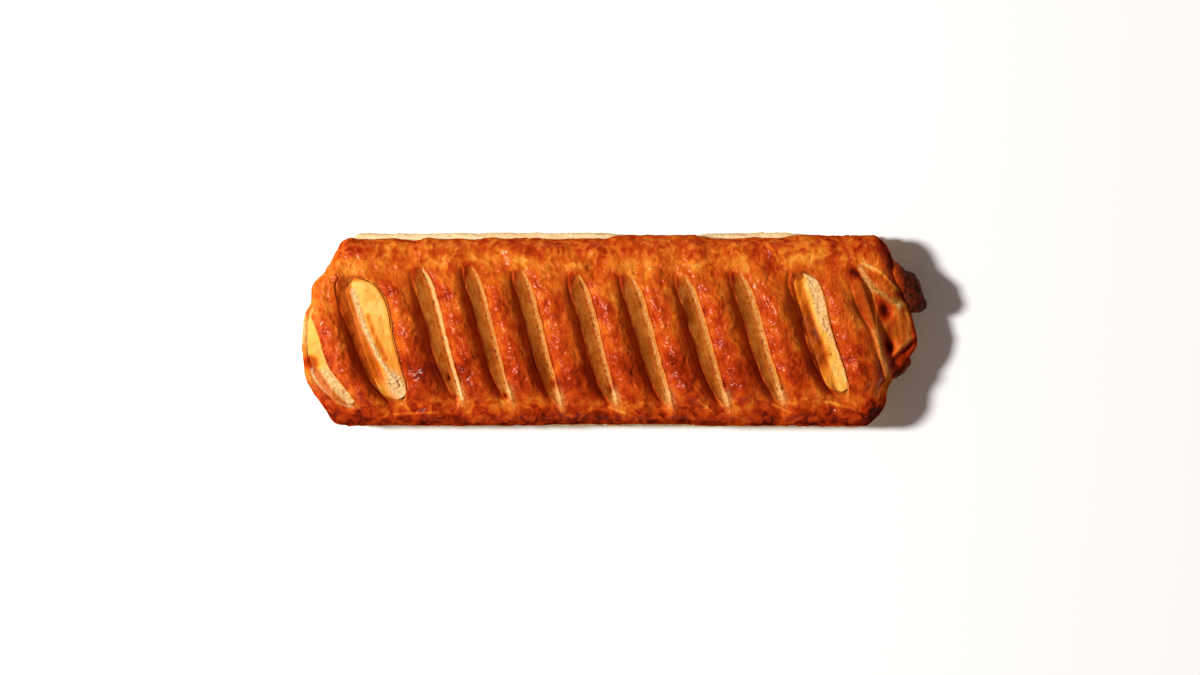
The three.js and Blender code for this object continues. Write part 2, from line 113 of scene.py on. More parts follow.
# 1 on a path, fading to 0 at its half width, which may change from the first end to the last
def stroke(x, y, path, width):
    start, end = width if isinstance(width, tuple) else (width, width)
    weight = np.zeros(np.shape(x))
    for n, ((ax, ay), (bx, by)) in enumerate(zip(path, path[1:])):
        dx, dy = bx - ax, by - ay
        reach = np.clip(((x - ax) * dx + (y - ay) * dy) / (dx**2 + dy**2), 0, 1)
        away = np.hypot(x - ax - reach * dx, y - ay - reach * dy)
        wide = mix(start, end, (n + reach) / (len(path) - 1))
        weight = np.maximum(weight, smooth(1 - away / wide))
    return weight


# the pastry's outline and slashes, from the named sizes of the solids
pastry = {
    "front": -30.6,
    "back": 30.6,
    "edgeWave": 0.35,
    "edgeWaveLength": 17,
    "baseThickness": 7,
    "layerGap": 0.3,
}
leftEndPoints = [
    (-86.2, -30.6), (-90.2, -29.0), (-92.6, -25.4), (-96.6, -19.6), (-99.0, -14.6), (-100.0, -5.0),
    (-99.4, 4.0), (-97.2, 9.0), (-96.8, 14.2), (-92.8, 18.8), (-89.2, 25.2), (-87.0, 28.8), (-83.4, 30.6),
]
rightEndPoints = [
    (79.6, -30.6), (83.0, -28.0), (86.0, -24.0), (87.0, -18.4), (89.4, -14.4), (93.0, -10.0), (96.4, -4.0),
    (95.4, 2.0), (94.6, 5.2), (92.0, 11.0), (90.0, 17.0), (88.4, 23.0), (86.2, 27.6), (82.6, 30.6),
]
# x half way along, width, y of the front and back ends, lean, and what sets a slash apart; a flare
# moves the right edge by so much, most at one y and fading out over the run given last
slashes = [dict(zip(("x", "width", "front", "back", "lean"), sizes), **apart) for *sizes, apart in (
    (-95.4, 6.2, -25.0, 7.6, 0.30, {"curl": 8, "depth": 2.6, "risen": (2.2, 0.5), "flare": (2.4, -19, 6)}),
    (-77.0, 13.0, -23.4, 17.6, 0.32, {"depth": 3, "risen": (2.6, 0.4), "flare": (1.6, 8, 8)}),
    (-56.6, 5.8, -22.0, 20.2, 0.26, {"cream": 0.6}),
    (-40.8, 5.0, -22.3, 20.8, 0.25, {}),
    (-25.0, 5.0, -24.0, 19.4, 0.25, {}),
    (-7.3, 5.4, -23.4, 18.0, 0.25, {}),
    (9.6, 5.7, -23.8, 17.8, 0.27, {}),
    (27.3, 5.3, -24.0, 17.6, 0.29, {}),
    (44.8, 5.3, -22.8, 18.6, 0.29, {}),
    (65.0, 10.0, -21.0, 19.0, 0.28, {"depth": 2.8, "risen": (2.4, 0.5), "flare": (-1.3, 2, 13)}),
    (82.0, 5.8, -19.0, 20.2, 0.286, {"curl": 0.4, "depth": 0.6, "pinch": -1}),
)]
firstSlash, lastSlash = slashes[0], slashes[-1]
openSlashes = (1, 9)  # the two that the filling rose through
cut = {
    "depth": 2.5,  # from the crust to a slash's floor
    "cream": 0.24,  # how pale the lit wall is
    "pinch": -99,  # y up to which a slash has closed up: none of it
    "pinchedShare": 0.2,  # width left there, then depth left there and the run over which it opens
    "pinchedDepth": 0.15,
    "pinchedRun": 9.0,
    "taper": 0.14,  # how much wider the back half is than the middle, and the front half narrower
    "frontCurl": 1.7,
    "backCurl": 0.7,
    "closedFloor": (0.58, 0.68),
    "openFloor": (0.3, 0.9),
    "bluntBack": 0.55,
    "bluntFront": 0.42,
    "leastStrip": 1.6,
    "leastColumn": 0.25,
}


def endCurve(points):
    p = np.array(points)
    last = len(p) - 1
    t = np.linspace(0, last, 24 * len(p) + 1)
    i = np.minimum(t.astype(int), last - 1)
    w = (t - i)[:, None]
    a, b, c, d = p[np.maximum(i - 1, 0)], p[i], p[i + 1], p[np.minimum(i + 2, last)]
    bend = (2 * b - 2 * c + (c - a) / 2 + (d - b) / 2) * w**3
    bend += (3 * c - 3 * b - (c - a) - (d - b) / 2) * w**2
    curve = bend + (c - a) / 2 * w + b
    return lambda y: np.interp(y, curve[:, 1], curve[:, 0])


leftEnd = endCurve(leftEndPoints)
rightEnd = endCurve(rightEndPoints)


def edgeWander(x, side):
    return pastry["edgeWave"] * lumpNoise(x / pastry["edgeWaveLength"], 3.7 * side, 0.5)


def floorShares(slash):
    return cut["openFloor"] if "risen" in slash else cut["closedFloor"]


def slashReach(slash, y):
    middle = (slash["front"] + slash["back"]) / 2
    return np.clip((y - middle) / ((slash["back"] - slash["front"]) / 2), -1, 1)


def slashCentre(slash, y):
    reach = slashReach(slash, y)
    curl = np.where(reach < 0, slash.get("curl", cut["frontCurl"]), cut["backCurl"])
    return slash["x"] - slash["lean"] * (y - (slash["front"] + slash["back"]) / 2) - curl * reach**3


# 1 where a slash is open and 0 where it has closed up
def unpinched(slash, y):
    return ease(y, slash.get("pinch", cut["pinch"]), cut["pinchedRun"])


# 1 along most of a slash, falling to 0 at its two ends
def opened(slash, y):
    return 1 - np.abs(slashReach(slash, y)) ** 7


def slashKeys(slash, y):
    along = slashReach(slash, y)
    reach = np.abs(along)
    front = np.maximum(cut["bluntFront"], np.sqrt(1 - reach**4))
    back = np.maximum(cut["bluntBack"], np.sqrt(1 - reach**6))
    wide = slash["width"] * (1 + cut["taper"] * along) * mix(cut["pinchedShare"], 1, unpinched(slash, y))
    wide = wide * np.where(along < 0, front, back)
    left = slashCentre(slash, y) - wide / 2
    flare, at, run = slash.get("flare", (0, 0, 1))
    wide = wide + flare * np.exp(-(((y - at) / run) ** 2))
    start, end = floorShares(slash)
    return [left + share * wide for share in (0, 0.5 * start, start, end, 1)]


# the five curves of every slash where they cross the rows, kept in order between the two ends
def rowKeys(y):
    keys = np.array([key for slash in slashes for key in slashKeys(slash, y)])
    gap = lambda n: cut["leastStrip"] if n % 5 == 0 else cut["leastColumn"]
    limit = leftEnd(y)
    for n in range(len(keys)):
        limit = keys[n] = np.maximum(keys[n], limit + gap(n))
    limit = rightEnd(y)
    for n in reversed(range(len(keys))):
        limit = keys[n] = np.minimum(keys[n], limit - gap(n + 1))
    return keys.reshape(len(slashes), 5, len(y))


# modelling helpers
def objectMode():
    bpy.ops.object.mode_set(mode="OBJECT")


def deselectAll():
    if bpy.context.mode != "OBJECT":
        objectMode()
    bpy.ops.object.select_all(action="DESELECT")


def named(name):
    piece = bpy.context.active_object
    piece.name = piece.data.name = name
    return piece


# one property of all the vertices, edges or attribute values of a mesh
def readAll(elements, name, kind, width=1):
    values = np.empty(len(elements) * width, kind)
    elements.foreach_get(name, values)
    return values if width == 1 else values.reshape(-1, width)


def readPoints(piece, layer="co"):
    points = readAll(piece.data.vertices, layer, np.float32, 3).astype(float)
    return points / (mm if layer == "co" else 1)


def writePoints(piece, points):
    piece.data.vertices.foreach_set("co", (points * mm).astype(np.float32).ravel())
    piece.data.update()


def paint(piece, layers):
    for name, values in layers.items():
        layer = piece.data.attributes.get(name) or piece.data.attributes.new(name, "FLOAT", "POINT")
        layer.data.foreach_set("value", np.asarray(values, np.float32).ravel())


def edgeEnds(piece):
    return np.sort(readAll(piece.data.edges, "vertices", np.int32, 2), axis=1).astype(np.int64)


def selectOnly(piece, vertices=None, edges=None, faces=None):
    mesh = piece.data
    for parts, chosen in ((mesh.polygons, faces), (mesh.edges, edges), (mesh.vertices, vertices)):
        parts.foreach_set("select", np.zeros(len(parts), bool) if chosen is None else chosen)


# selects the given vertices and the edges between them
def selectJoined(piece, chosen):
    ends = edgeEnds(piece)
    selectOnly(piece, vertices=chosen, edges=chosen[ends[:, 0]] & chosen[ends[:, 1]])


# selects the closed loop of edges that joins the given vertices in turn
def selectLoop(piece, ring):
    count = len(piece.data.vertices)
    loop = np.sort(np.stack([ring, np.roll(ring, -1)], 1), axis=1)
    ends = edgeEnds(piece)
    chosen = np.isin(ends[:, 0] * count + ends[:, 1], loop[:, 0] * count + loop[:, 1])
    selectOnly(piece, vertices=np.isin(np.arange(count), ring), edges=chosen)


def editMode(piece, kind):
    bpy.context.view_layer.objects.active = piece
    piece.select_set(True)
    bpy.ops.object.mode_set(mode="EDIT")
    bpy.context.tool_settings.mesh_select_mode = (kind == "VERT", kind == "EDGE", kind == "FACE")


def extrudeBy(height):
    bpy.ops.mesh.extrude_region_move(TRANSFORM_OT_translate={"value": (0, 0, height)})


def gridPiece(name, columns, rows):
    deselectAll()
    bpy.ops.mesh.primitive_grid_add(x_subdivisions=columns - 1, y_subdivisions=rows - 1, size=1)
    return named(name)


def rimOrder(columns, rows):
    ids = np.arange(rows * columns).reshape(rows, columns)
    return np.concatenate([ids[0], ids[1:-1, -1], ids[-1, ::-1], ids[1:-1, 0][::-1]])


# extrudes the rim of a grid downwards, and gives the new rings in the rim's order
def extrudeRim(piece, rim, levels):
    mesh = piece.data
    count = len(mesh.vertices)
    start = readPoints(piece)
    selectLoop(piece, rim)
    place = mesh.attributes.new("place", "INT", "POINT")
    place.data.foreach_set("value", np.arange(count, dtype=np.int32))
    step = 50.0
    editMode(piece, "EDGE")
    for _ in range(levels):
        extrudeBy(-step * mm)
    objectMode()
    places = readAll(mesh.attributes["place"].data, "value", np.int32)
    mesh.attributes.remove(mesh.attributes["place"])
    points = readPoints(piece)
    level = np.rint((start[places, 2] - points[:, 2]) / step).astype(int)
    spot = np.full(count, -1)
    spot[rim] = np.arange(len(rim))
    rings = np.zeros((levels + 1, len(rim)), int)
    rings[0] = rim
    new = np.arange(count, len(points))
    rings[level[new], spot[places[new]]] = new
    return rings


def outwards(ring):
    along = np.roll(ring, -1, axis=0) - np.roll(ring, 1, axis=0)
    away = np.stack([along[:, 1], -along[:, 0]], 1)
    return away / np.maximum(np.linalg.norm(away, axis=1), 1e-9)[:, None]


def fillSelected(piece):
    editMode(piece, "EDGE")
    bpy.ops.mesh.fill(use_beauty=False)
    bpy.ops.mesh.select_all(action="SELECT")
    bpy.ops.mesh.normals_make_consistent(inside=False)
    objectMode()


def fillRings(piece, *rings):
    for ring in rings:
        selectLoop(piece, ring)
        fillSelected(piece)


def finishPiece(piece, material, node):
    deselectAll()
    piece.data.polygons.foreach_set("use_smooth", np.ones(len(piece.data.polygons), bool))
    piece.data.materials.clear()
    piece.data.materials.append(material)
    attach(piece, "root")
    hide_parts(node)
    triangles = sum(len(p.vertices) - 2 for p in piece.data.polygons)
    print(f"{piece.name}: {triangles} triangles")


# colours are written as they look on screen and turned linear here
def linear(code):
    parts = [int(code[n:n + 2], 16) / 255 for n in (1, 3, 5)]
    return tuple(p / 12.92 if p <= 0.04045 else ((p + 0.055) / 1.055) ** 2.4 for p in parts) + (1.0,)


# adds a node: each setting is a property, an input's constant, or a socket or node (its main output)
# to link the input to; inputs may also follow in their order, and "stops" fills a colour ramp
def addNode(tree, kind, settings=None, *inputs):
    node = tree.nodes.new("ShaderNode" + kind)
    for name, value in {**(settings or {}), **dict(enumerate(inputs))}.items():
        if isinstance(value, bpy.types.Node):
            value = value.outputs[2 if getattr(value, "data_type", "") == "RGBA" else 0]
        if name == "stops":
            elements = node.color_ramp.elements
            while len(elements) < len(value):
                elements.new(0.5)
            for element, (place, code) in zip(elements, value):
                element.position = place
                element.color = linear(code)
        elif isinstance(value, bpy.types.NodeSocket):
            tree.links.new(value, node.inputs[name])
        elif isinstance(name, int) or name in node.inputs:
            if value is not None:
                node.inputs[name].default_value = value
        else:
            setattr(node, name, value)
    return node


# a new material, what adds its nodes, the Object coordinates and the painted layers that it reads
def newMaterial(name, *layers):
    material = bpy.data.materials.new(name)
    material.use_nodes = True
    material.node_tree.nodes.clear()
    add = partial(addNode, material.node_tree)
    place = add("TexCoord").outputs["Object"]
    at = {layer: add("Attribute", {"attribute_name": layer}).outputs["Fac"] for layer in layers}
    return material, add, place, at


# a pattern whose features are about so many millimetres across
def perMetre(sizeInMm):
    return 1000 / sizeInMm


noiseInputs = ("Scale", "Detail", "Roughness", "Distortion", "Vector")
timesPlus, plus, times = ({"operation": name} for name in ("MULTIPLY_ADD", "ADD", "MULTIPLY"))


# Egg-washed puff pastry, oven browned: wet-looking wrinkled skin that runs from gold to mahogany and
# lets red light through, with dry cream leaves where it was cut and a tan film where cheese baked on
def makeCrustMaterial():
    material, add, place, at = newMaterial(
        "eggWashedCrust", "browning", "leafFace", "film", "tan", "char", "glaze", "blotch", "relief")
    # turned to the lean of the slashes and drawn out a little along them
    grainWay = add("Mapping", {
        "vector_type": "TEXTURE", "Rotation": (0, 0, 0.26), "Scale": (1, 1.2, 1), "Vector": place})
    patches, flecks, fine, curl, blister, folding = (
        add("TexNoise", dict(zip(noiseInputs, values))) for values in (
            (perMetre(4.2), 2.0, 0.45, 0.6, grainWay),
            (perMetre(2.8), 1.5, 0.5, 0.9, grainWay),
            (perMetre(0.9), 2.0, 0.5, 0.6, place),
            (perMetre(2.6), 1.0, 0.5, 0.0, place),
            (perMetre(2.2), 1.0, 0.5, 1.0, grainWay),
            (perMetre(2.8), 0.4, 0.4, 0.5, grainWay),
        ))
    bent = add("VectorMath", timesPlus, curl.outputs["Color"], (0.0026,) * 3, grainWay)
    bubbles = add("TexVoronoi", {
        "feature": "SMOOTH_F1", "Scale": perMetre(2.8), "Smoothness": 0.5, "Vector": bent})
    crisp = add("MapRange", {
        "From Min": 0.38, "From Max": 0.62, "To Min": -0.12, "To Max": 0.12, "Value": flecks})
    blotches = add("Math", times, crisp, at["blotch"])
    wide = add("Math", timesPlus, patches, 0.36, -0.22)
    narrow = add("Math", timesPlus, fine, 0.04, wide)
    baked = add("Math", plus, at["browning"], narrow)
    # painted shade: the creases between the bubbles are browned darker, on top of the random blotches
    creaseShadeAndBlotches = add("Math", timesPlus, bubbles, 0.07, blotches)
    colour = add("ValToRGB", {"Fac": add("Math", plus, baked, creaseShadeAndBlotches), "stops": [
        (0.00, "#f0c074"), (0.15, "#e8983a"), (0.30, "#dd7a23"), (0.45, "#ca5a15"),
        (0.60, "#b43c0c"), (0.74, "#972807"), (0.87, "#6e1805"), (1.00, "#3a0f06"),
    ]})
    halfTan = add("Math", timesPlus, at["tan"], 0.5, -0.15)
    leafTone = add("Math", timesPlus, fine, 0.85, halfTan)
    leaves = add("ValToRGB", {"Fac": leafTone, "stops": [
        (0.25, "#96561e"), (0.42, "#c58a48"), (0.6, "#dcaa6c"), (0.85, "#f0d6a6"),
    ]})
    mottled = add("Math", timesPlus, flecks, 0.75, -0.36)
    tanned = add("Math", plus, mottled, at["tan"])
    filmTone = add("Math", timesPlus, patches, 0.2, tanned)
    film = add("ValToRGB", {"Fac": filmTone, "stops": [
        (0.1, "#90340a"), (0.35, "#a85412"), (0.6, "#b8722a"), (0.85, "#d09246"), (1.0, "#e6b068"),
    ]})
    for layer, over in (("film", film), ("leafFace", leaves), ("char", linear("#2a140c"))):
        colour = add("Mix", {"data_type": "RGBA", 0: at[layer], 6: colour, 7: over})
    roughness, gloss = (
        add("Mix", {"data_type": "FLOAT", 0: at["glaze"], 2: dry, 3: glazed})
        for dry, glazed in ((0.7, 0.22), (0.0, 0.125)))
    # the dried egg wash: soft swellings, curly bubbles, folds with creases and a faint fine crackle
    folded = add("Math", {"operation": "SUBTRACT"}, folding, 0.5)
    folds = add("Math", {"operation": "ABSOLUTE"}, folded)
    normal = None
    for height, distance, strength, sunk in (
        (blister, 0.0005, at["relief"], False), (bubbles, 0.0005, at["relief"], True),
        (folds, 0.00075, at["relief"], True), (fine, 0.00015, 0.5, False),
    ):
        normal = add("Bump", {
            "Height": height, "Distance": distance, "Strength": strength, "invert": sunk, "Normal": normal})
    shader = add("BsdfPrincipled", {
        "Base Color": colour, "Roughness": roughness, "Normal": normal, "Specular IOR Level": gloss,
        "IOR": 1.48, "Specular Tint": linear("#ffd8c4"),
        "Subsurface Weight": 0.2, "Subsurface Scale": 0.0012, "Subsurface Radius": (1.0, 0.35, 0.1)})
    add("OutputMaterial", {"Surface": shader})
    return material


# Baked puff pastry leaves without egg wash, torn and layered: dry, cream with golden edges
def makeLeafMaterial():
    material, add, place, at = newMaterial("bakedPastryLeaves", "browning")
    layered = add("Mapping", {
        "vector_type": "TEXTURE", "Scale": (0.006, 0.006, 0.0006), "Vector": place})
    fine, lines = (add("TexNoise", dict(zip(noiseInputs, values))) for values in (
        (perMetre(1.3), 4.0, 0.6, 0.0, place), (1.0, 2.0, 0.5, 0.0, layered)))
    shift = add("Math", timesPlus, fine, 0.4, -0.2)
    shift = add("Math", timesPlus, lines, -0.5, shift)
    tone = add("Math", plus, at["browning"], shift)
    colour = add("ValToRGB", {"Fac": tone, "stops": [
        (0.0, "#efd3a0"), (0.2, "#e6ba7b"), (0.45, "#d49448"), (0.7, "#b06224"), (1.0, "#7c3410"),
    ]})
    normal = None
    for height, distance in ((fine, 0.0007), (lines, 0.0008)):
        normal = add("Bump", {
            "Strength": 0.7, "Distance": distance, "Height": height, "Normal": normal})
    shader = add("BsdfPrincipled", {
        "Base Color": colour, "Roughness": 0.8, "Specular IOR Level": 0.2, "Normal": normal})
    add("OutputMaterial", {"Surface": shader})
    return material


# Melted and set cheese filling: smooth, waxy and a little translucent, toasted orange where it
# stood proud, with dry pale curds and dark specks of pepper
def makeCheeseMaterial():
    material, add, place, at = newMaterial("meltedCheese", "toast", "curd", "speck")
    soft, fine = (add("TexNoise", dict(zip(noiseInputs, values))) for values in (
        (perMetre(4.0), 3.0, 0.5, 0.8, place), (perMetre(0.8), 3.0, 0.6, 0.0, place)))
    shift = add("Math", timesPlus, soft, 0.36, -0.18)
    tone = add("Math", plus, at["toast"], shift)
    colour = add("ValToRGB", {"Fac": tone, "stops": [
        (0.0, "#edbe66"), (0.2, "#e39c38"), (0.4, "#d9781c"),
        (0.6, "#bd560c"), (0.8, "#943a08"), (1.0, "#4e1a08"),
    ]})
    curds = add("ValToRGB", {"Fac": fine, "stops": [
        (0.3, "#9c6a34"), (0.45, "#d2a468"), (0.7, "#e8c894"),
    ]})
    grains = add("TexVoronoi", {"Scale": perMetre(1.3), "Vector": place})
    near = add("Math", {"operation": "LESS_THAN"}, grains, 0.18)
    pepper = add("Math", times, near, at["speck"])
    for share, over in ((at["curd"], curds), (pepper, linear("#4a2c14"))):
        colour = add("Mix", {"data_type": "RGBA", 0: share, 6: colour, 7: over})
    roughness = add("Mix", {"data_type": "FLOAT", 0: at["curd"], 2: 0.28, 3: 0.8})
    bump = add("Bump", {"Strength": 0.5, "Distance": 0.0006, "Height": fine})
    shader = add("BsdfPrincipled", {
        "Base Color": colour, "Roughness": roughness, "Normal": bump, "IOR": 1.45, "Specular IOR Level": 0.06,
        "Subsurface Weight": 0.15, "Subsurface Scale": 0.001, "Subsurface Radius": (1.0, 0.6, 0.25)})
    add("OutputMaterial", {"Surface": shader})
    return material


# Cheese that ran out and burnt on the tray: blistered and glassy, red-brown to black
def makeBurntMaterial():
    material, add, place, at = newMaterial("burntCheese", "char")
    soft, fine = (add("TexNoise", dict(zip(noiseInputs, values))) for values in (
        (perMetre(2.2), 4.0, 0.5, 1.0, place), (perMetre(1.5), 2.0, 0.5, 0.0, place)))
    shift = add("Math", plus, soft, -0.5)
    tone = add("Math", plus, at["char"], shift)
    colour = add("ValToRGB", {"Fac": tone, "stops": [
        (0.0, "#c04e14"), (0.3, "#a0380e"), (0.55, "#82280c"), (0.8, "#5e1e0c"), (1.0, "#38160c"),
    ]})
    bump = add("Bump", {"Strength": 0.7, "Distance": 0.0009, "Height": fine})
    shader = add("BsdfPrincipled", {
        "Base Color": colour, "Roughness": 0.5, "Specular IOR Level": 0.02, "Normal": bump})
    add("OutputMaterial", {"Surface": shader})
    return material


# White paper backdrop, matte and even
def makeBackdropMaterial():
    material, add, place, _ = newMaterial("whitePaper")
    fibre = add("TexNoise", {"Scale": perMetre(1.5), "Detail": 2.0, "Vector": place})
    bump = add("Bump", {"Strength": 0.03, "Distance": 0.0002, "Height": fibre})
    shader = add("BsdfPrincipled", {
        "Base Color": linear("#f7f6f5"), "Roughness": 0.9, "Normal": bump})
    add("OutputMaterial", {"Surface": shader})
    return material


crustMaterial = makeCrustMaterial()
leafMaterial = makeLeafMaterial()
cheeseMaterial = makeCheeseMaterial()
burntMaterial = makeBurntMaterial()
print("materials made")

# the camera looks straight down, as the photograph was taken
view = {
    "lens": 85.0,
    "sensor": 36.0,
    "frameWidth": 384.0,  # millimetres that the 1200 pixels of the photograph take in
    "middle": (-4.96, -2.24),
    "atHeight": 12.0,  # where that width is measured
}
deselectAll()
cameraHeight = view["atHeight"] + view["frameWidth"] * view["lens"] / view["sensor"]
bpy.ops.object.camera_add(location=Vector((*view["middle"], cameraHeight)) * mm, rotation=(0, 0, 0))
camera = named("overheadCamera")
camera.data.lens = view["lens"]
camera.data.sensor_width = view["sensor"]
bpy.context.scene.camera = camera

light = {
    "towards": (-1.0, 0.09, 1.04),  # from the pastry to the lamp
    "distance": 2.5,
    "size": 0.36,
    "power": 89.0,
    "fill": 0.18,
    "fillColour": "#ffeadc",
}
direction = Vector(light["towards"]).normalized()
bpy.ops.object.light_add(type="AREA", location=direction * light["distance"],
                         rotation=direction.to_track_quat("Z", "Y").to_euler())
lamp = named("softKeyLight")
lamp.data.shape = "DISK"
lamp.data.size = light["size"]
lamp.data.energy = light["power"]
world = bpy.data.worlds.new("studioFill")
world.use_nodes = True
sky = world.node_tree.nodes["Background"].inputs
sky["Color"].default_value = linear(light["fillColour"])
sky["Strength"].default_value = light["fill"]
bpy.context.scene.world = world
bpy.context.scene.view_settings.view_transform = "Standard"

deselectAll()
bpy.ops.mesh.primitive_plane_add(size=6, location=(0, 0, 0))
floor = named("whiteFloor")
floor.data.materials.append(makeBackdropMaterial())
print("camera, light and floor made")


# The glazed lid
lid = {
    "rows": 150,
    "rowCrowding": 0.045,
    "leftEndColumns": 8,
    "stripColumns": 34,
    "rightEndColumns": 34,
    "leftWall": 7,
    "floorColumns": 2,
    "rightWall": 5,
    "bottom": 7.3,
    "rimShoulder": 13.6,
    "shoulderRadius": 5,
    "endStretch": 0.85,  # the shoulders are this much gentler at the two ends
    "marginHeight": 19.4,
    "dome": 1.6,
    "domeRun": 12,
    "lumpSize": 6.5,
    "lumpHeight": 0.9,
    "lumpRun": 4,
    "stripBulge": 3.2,
    "lastStripShare": 0.75,  # how much lower the last strip is
    "stripFront": (3.5, 8),  # how far past the slashes' ends a strip starts to swell, and over what run
    "stripBack": (3, 15),
    "flapSink": 2.8,
    "puffShare": 0.93,  # of a strip's width, from its left
    "cutLip": 0.4,  # how much of the bulge is left at a strip's left edge
    "edgeInset": 0.35,
    "cavityTop": 13.5,
    "cavityEdges": (6.9, 6.9, 6.5, 10.5),  # front, back, left, right
    "sideLevels": 9,
    "leafRelief": 0.45,
    "blister": 0.3,  # heights of the three sizes of relief in the skin
    "wrinkle": 0.15,
    "crinkle": 0.02,
    "skinLean": 0.27,  # the wrinkles follow the slashes
    "raggedCut": 0.2,
    "cutFall": 0.3,  # share of a slash's depth that the skin beside it falls by
}
# browning before the patches and marks, from 0, pale gold, to 1, nearly black
tones = {
    "margin": 0.47,
    "strip": 0.57,
    "shadedWall": (0.57, 0.5),  # from a wall's top or foot on
    "litWall": (0.42, 0.3),
    "pinchedWall": 0.5,
    "leftEnd": 0.4,
    "rightEnd": 0.5,
    "flap": (0.51, 0.53),
    # and what is added to it: by patches on the strips and the margins, along the front and back
    # margins, on rims in front and at the left and then elsewhere, and round the slashes' ends
    "patches": (0.14, 0.17),
    "margins": (0.25, 0.04),
    "rims": (0.06, 0.02),
    "slashEnds": (-0.17, -0.15),
}
backLedges = [(-88, 2, 1.2), (25, 60, 0.9)]  # from x, to x, how deep
frontLedges = [(-24, 28, 0.5)]
flapDents = [  # where, how big, turned how far, how deep
    ((86.8, 6.2), (2.8, 1.9), 1.2, 1.2),
    ((87.6, -5.4), (3.2, 1.8), 1.2, 1.2),
    ((92.0, -7.0), (5.6, 1.2), 0.76, 1.3),
]
tear = ((77.3, 20.4), (88.8, 8.4))  # the two ends of the flap's torn edge


def ledgeDepth(x, ledges):
    depths = []
    for start, end, depth in ledges:
        ragged = 1 + 0.35 * lumpNoise(x / 5, depth, 2.5)
        depths.append(depth * ragged * smooth(np.minimum(x - start, end - x) / 6))
    return np.max(depths, axis=0)


def tearLine(x):
    (startX, startY), (endX, endY) = tear
    return startY + (np.minimum(x, endX) - startX) / (endX - startX) * (endY - startY)


def sunkEnd(x, y):
    return lid["flapSink"] * smooth((x - slashCentre(lastSlash, y)) / 3) * smooth((tearLine(x) - y) / 3)


# how far inside the rim a place is, with the corners rounded off
def insideRim(x, y):
    sides = np.stack([
        (x - leftEnd(y)) * lid["endStretch"],
        (rightEnd(y) - x) * lid["endStretch"],
        y - pastry["front"] - lid["edgeInset"],
        pastry["back"] - lid["edgeInset"] - y,
    ])
    return np.sum(np.maximum(sides, 0.02) ** -4.0, axis=0) ** -0.25


def crustHeight(x, y):
    inside = insideRim(x, y)
    turn = 1 - np.clip(inside / lid["shoulderRadius"], 0, 1)
    shoulder = mix(lid["rimShoulder"], lid["marginHeight"], np.sqrt(1 - turn**2))
    dome = lid["dome"] * (1 - (y / pastry["back"]) ** 2) * smooth(inside / lid["domeRun"])
    dents = np.max([depth * softSpot(x, y, at, size, turn) for at, size, turn, depth in flapDents], axis=0)
    sinking = mix(0.5, 1, smooth(2 * inside / lid["lumpRun"]))
    lump = lid["lumpHeight"] * lumpNoise(x / lid["lumpSize"], y / lid["lumpSize"], 7.3)
    return shoulder + dome - (sunkEnd(x, y) + dents) * sinking + lump * smooth(inside / lid["lumpRun"])


def stripLength(y, left, right):
    (pastFront, frontRun), (pastBack, backRun) = lid["stripFront"], lid["stripBack"]
    fromFront = y - max(left["front"], right["front"]) + pastFront
    fromBack = min(left["back"], right["back"]) + pastBack - y
    return smooth(fromFront / frontRun) * smooth(fromBack / backRun)


# a strip's puffed section: steep flanks and a broad crown, a little higher on its left
def stripBulge(across, y, left, right):
    crown = (1 - np.abs(2 * np.clip(across / lid["puffShare"], 0, 1) - 1) ** 2.4) * mix(1.04, 0.94, across)
    height = lid["stripBulge"] * (lid["lastStripShare"] if right is lastSlash else 1)
    return height * stripLength(y, left, right) * np.maximum(crown, lid["cutLip"] * (1 - across) ** 3)


# marks that the photograph shows at the two ends and in the slashes: x, y, how far they reach along
# and across, turned how far, and how height, browning and other layers change there
spots = [
    # left end: dark notch in the torn edge, browned corners
    (-99.4, 0.5, 1.3, 6.0, 0, 0, -0.4, dict(leafFace=0.9, tan=0.6)),
    (-98.4, -10.4, 1.8, 1.9, 0, -0.6, 0.42, dict(film=-2, leafFace=-2)),
    (-97.0, -16.0, 1.4, 4.4, 0.5, 0, -0.2, dict(leafFace=0.4)),
    (-92.0, 24.0, 4.0, 2.5, 0.9, 0, 0.1, {}),
    (-93.6, -21.6, 6.0, 2.6, -0.9, 0, 0.34, {}),
    (-84.2, -17.4, 3.0, 7.0, 0.3, 0, -0.17, {}),
    (-91.9, 12.9, 3.0, 4.5, 0, 0, -0.12, {}),
    (-60.2, -17.4, 3.0, 6.0, 0.26, 0, 0.1, {}),
    (-84.0, 20.0, 6.0, 2.2, 0.3, 0, -0.06, {}),
    # right end: the pocket at the top of the last slash and two in the torn flap, sunk and browned as painted
    # shade
    (76.6, 18.1, 2.7, 1.5, -0.63, -0.8, 0.34, dict(film=-1, leafFace=-1)),
    (86.2, 6.2, 3.2, 1.5, -1.15, -0.9, 0.42, dict(film=-0.9)),
    (87.2, -5.0, 3.2, 1.3, -1.2, -0.9, 0.4, dict(film=-0.9)),
    (83.6, 7.6, 2.2, 2.8, 0, 0, 0.12, dict(film=-0.5)),
    (92.0, -9.6, 3.6, 2.8, 0.6, 0.5, 0.24, dict(film=-1)),
    (96.0, 1.0, 1.4, 5.0, 0, 0, 0.26, dict(film=-0.9)),
    (90.0, 8.6, 2.2, 1.6, 0, 0, -0.28, dict(char=-0.5)),
    # scorched rims from the back corner round to the front one
    (85.6, 27.4, 4.6, 1.9, -0.95, 0, 0.2, {}),
    (89.0, 18.6, 6.4, 2.2, -1.2, 0.3, 0.34, dict(char=0.48)),
    (93.4, 10.6, 3.4, 2.6, -1.0, 0.4, 0.5, dict(char=0.9)),
    (87.6, -19.0, 1.0, 3.2, 0, 0, 0.4, dict(char=0.25)),
    (82.6, -24.6, 3.4, 4.0, -0.3, 0, 0.3, {}),
]
